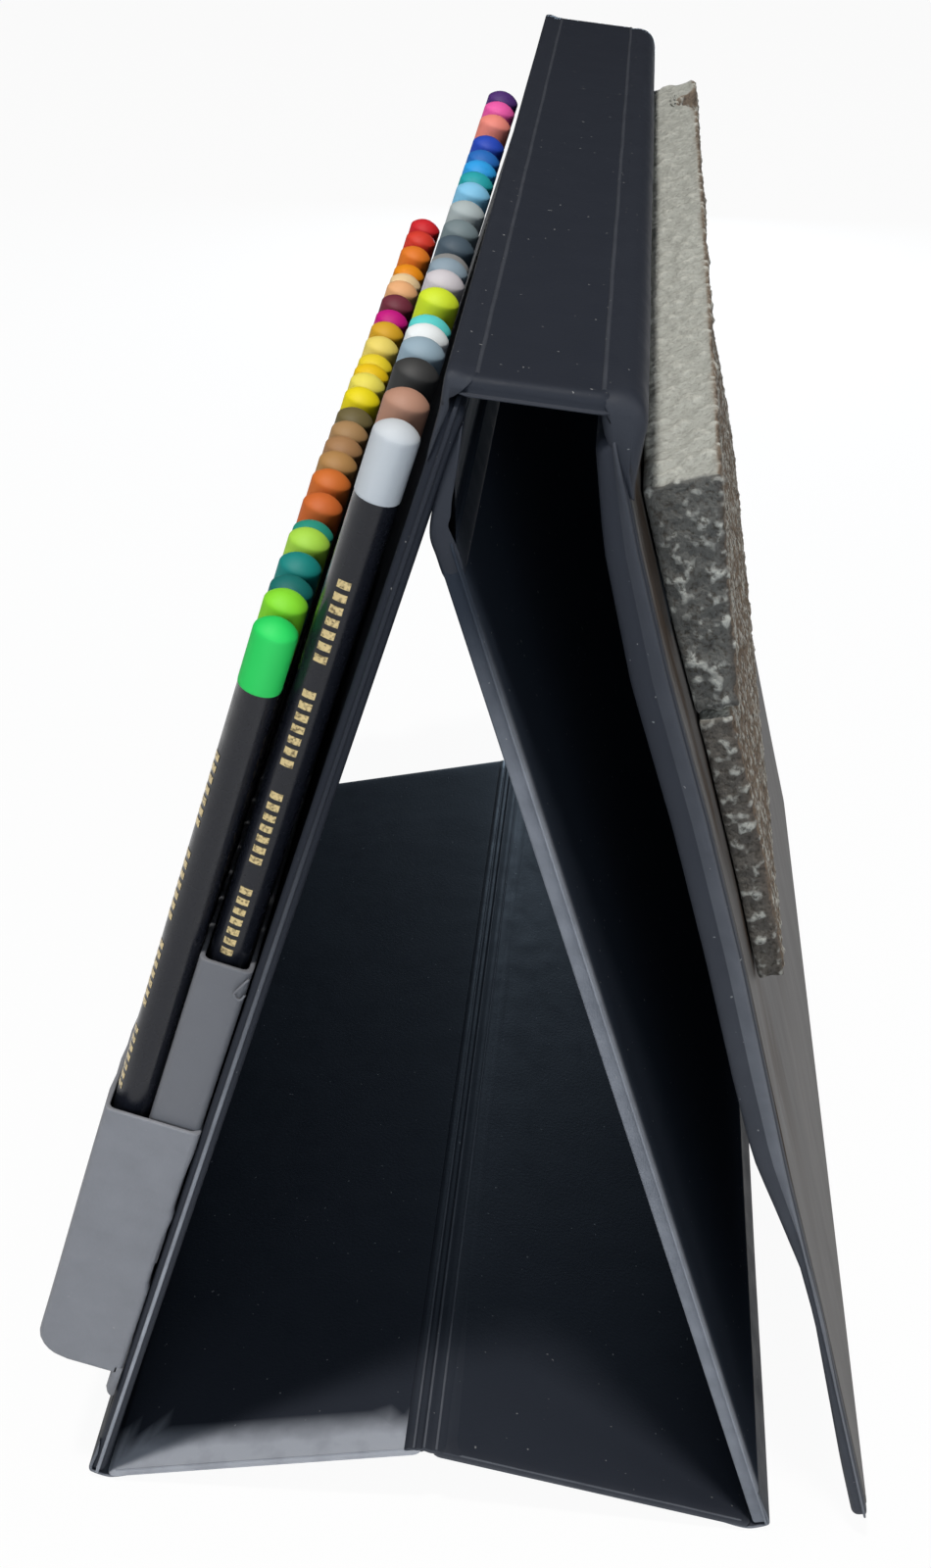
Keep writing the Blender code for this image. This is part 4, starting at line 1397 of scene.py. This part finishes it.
def cap_paint(slot):
    """The paint of a cap in the record's tone, a little deeper where it is vivid."""
    colour = VIVID.get(slot, tuple(slots[slot]["base_color"][:3]))
    return bpy.data.materials.get(slot) or paint(slot, colour)


def pencil(node):
    """The pencil for a CAD node: its foot, length and middle come from the node's points."""
    places = [vertex.co for vertex in nodes[node].data.vertices]
    heights = [place.dot(UP) for place in places]
    foot, length = min(heights), max(heights) - min(heights)
    middle = sum((place - UP * place.dot(UP) for place in places), Vector()) / len(places)
    shape = turned_pencil(length)
    turned_faces = len(shape.faces)
    marks = TICKS.copy()
    turn = Matrix.Rotation(STAMP_TURN[node.split("_")[1]], 4, "Z")
    marks.transform(Matrix.Translation((0, 0, length - STAMP_DROP)) @ turn)
    shape.from_mesh(marks)
    bpy.data.meshes.remove(marks)
    shape.faces.ensure_lookup_table()
    for face in shape.faces[turned_faces:]:
        face.material_index = 4
    lean = Matrix.Rotation(math.radians(PANEL_TILT), 4, "Y")
    shape.transform(Matrix.Translation(middle + UP * foot) @ lean)
    slot = node_slots[node]
    cap = cap_paint(slot)
    finishes = [cap, LACQUER, CEDAR, cap, FOIL]
    return settled(node + "_turned", plain_mesh(node, shape), finishes, node, slot, node)


pencils = [pencil(node) for node in sorted(nodes) if node.startswith(("pencil_rear", "pencil_front"))]
print("Pencils:", len(pencils))

# %% [markdown]
# ## The studio
#
# A pale floor that reads as paper white to the camera, a small key lamp up and to the front
# left, and weaker, broad ones in front and on the cover's side, so that the tent's inside stays
# dark and its near edges catch light. A weak, low lamp behind draws the far edges. The floor
# mixes a white that only the camera and reflections see with a plain diffuse one, which keeps
# the object's shadow. The world is weak for the object and white to the camera alone.

# %% Floor and world
FLOOR_WHITE_SHARE = 0.95
WORLD_STRENGTH = 0.026


def seen_ray(tree):
    """1 for camera, glossy and transmission rays, 0 for the rest."""
    rays = add_node(tree, "ShaderNodeLightPath").outputs
    total = number(tree, "MAXIMUM", rays["Is Camera Ray"], rays["Is Glossy Ray"])
    return number(tree, "MAXIMUM", total, rays["Is Transmission Ray"])


def studio_floor():
    """A wide sheet under the object, white to the rays that are seen."""
    shape = bmesh.new()
    corners = ((-3, -3), (3, -3), (3, 3), (-3, 3))
    shape.faces.new([shape.verts.new((x, y, 0)) for x, y in corners])
    floor = in_scene("floor", plain_mesh("floor", shape))
    made, tree, shader = finish("pale floor", grey(0.80), 0.9)
    white = add_node(tree, "ShaderNodeEmission", Strength=1.0)
    share = number(tree, "MULTIPLY", seen_ray(tree), FLOOR_WHITE_SHARE)
    both = add_node(tree, "ShaderNodeMixShader", Fac=share)
    plug(tree, both.inputs[1], shader.outputs[0])
    plug(tree, both.inputs[2], white.outputs[0])
    fill(tree, tree.nodes["Material Output"], Surface=both.outputs[0])
    floor.data.materials.append(made)


def white_world():
    """A weak world for the object, white to the camera alone."""
    world = bpy.data.worlds.new("studio")
    bpy.context.scene.world = world
    world.use_nodes = True
    tree = world.node_tree
    camera_ray = add_node(tree, "ShaderNodeLightPath").outputs["Is Camera Ray"]
    amount = mixed(tree, camera_ray, WORLD_STRENGTH, 1.0, kind="FLOAT")
    fill(tree, tree.nodes["Background"], Color=grey(1), Strength=amount)


studio_floor()
white_world()
print("World strength:", WORLD_STRENGTH)

# %% Lamps and camera
# Each lamp: its place, what it is aimed at, its size, its watts and its tint.
LAMPS = {
    "key": ((-0.12, -0.33, 1.35), (0, -0.02, 0.10), 0.10, 13, (1.0, 0.98, 0.94)),
    "front": ((0.05, -1.30, 0.35), (0, -0.14, 0.10), 1.2, 11, (0.82, 0.91, 1.0)),
    "cover side": ((1.0, -0.25, 0.75), (0.05, 0, 0.12), 0.6, 4, (1.0, 1.0, 1.0)),
    "behind": ((0.02, 0.85, 0.17), (0, 0, 0.05), 0.12, 3.5, (0.62, 0.80, 1.0)),
}
CAMERA_PLACE = (0.022708, -0.400785, 0.34415)
CAMERA_TURN = (58.062, -0.460, 5.033)
LENS = 43.738
SENSOR_HEIGHT = 36

for name, (place, aim, size, watts, tint) in LAMPS.items():
    light = bpy.data.lights.new(name, "AREA")
    light.color = tint
    light.size = size
    light.energy = watts
    item = in_scene(name, light)
    item.location = place
    item.rotation_euler = (Vector(aim) - Vector(place)).to_track_quat("-Z", "Y").to_euler()

camera = bpy.data.cameras.new("camera")
camera.sensor_fit = "VERTICAL"
camera.sensor_height = SENSOR_HEIGHT
camera.lens = LENS
view = in_scene("camera", camera)
view.location = CAMERA_PLACE
view.rotation_euler = [math.radians(turn) for turn in CAMERA_TURN]
bpy.context.scene.camera = view
bpy.context.scene.view_settings.view_transform = "Standard"
print("Lamps:", list(LAMPS))
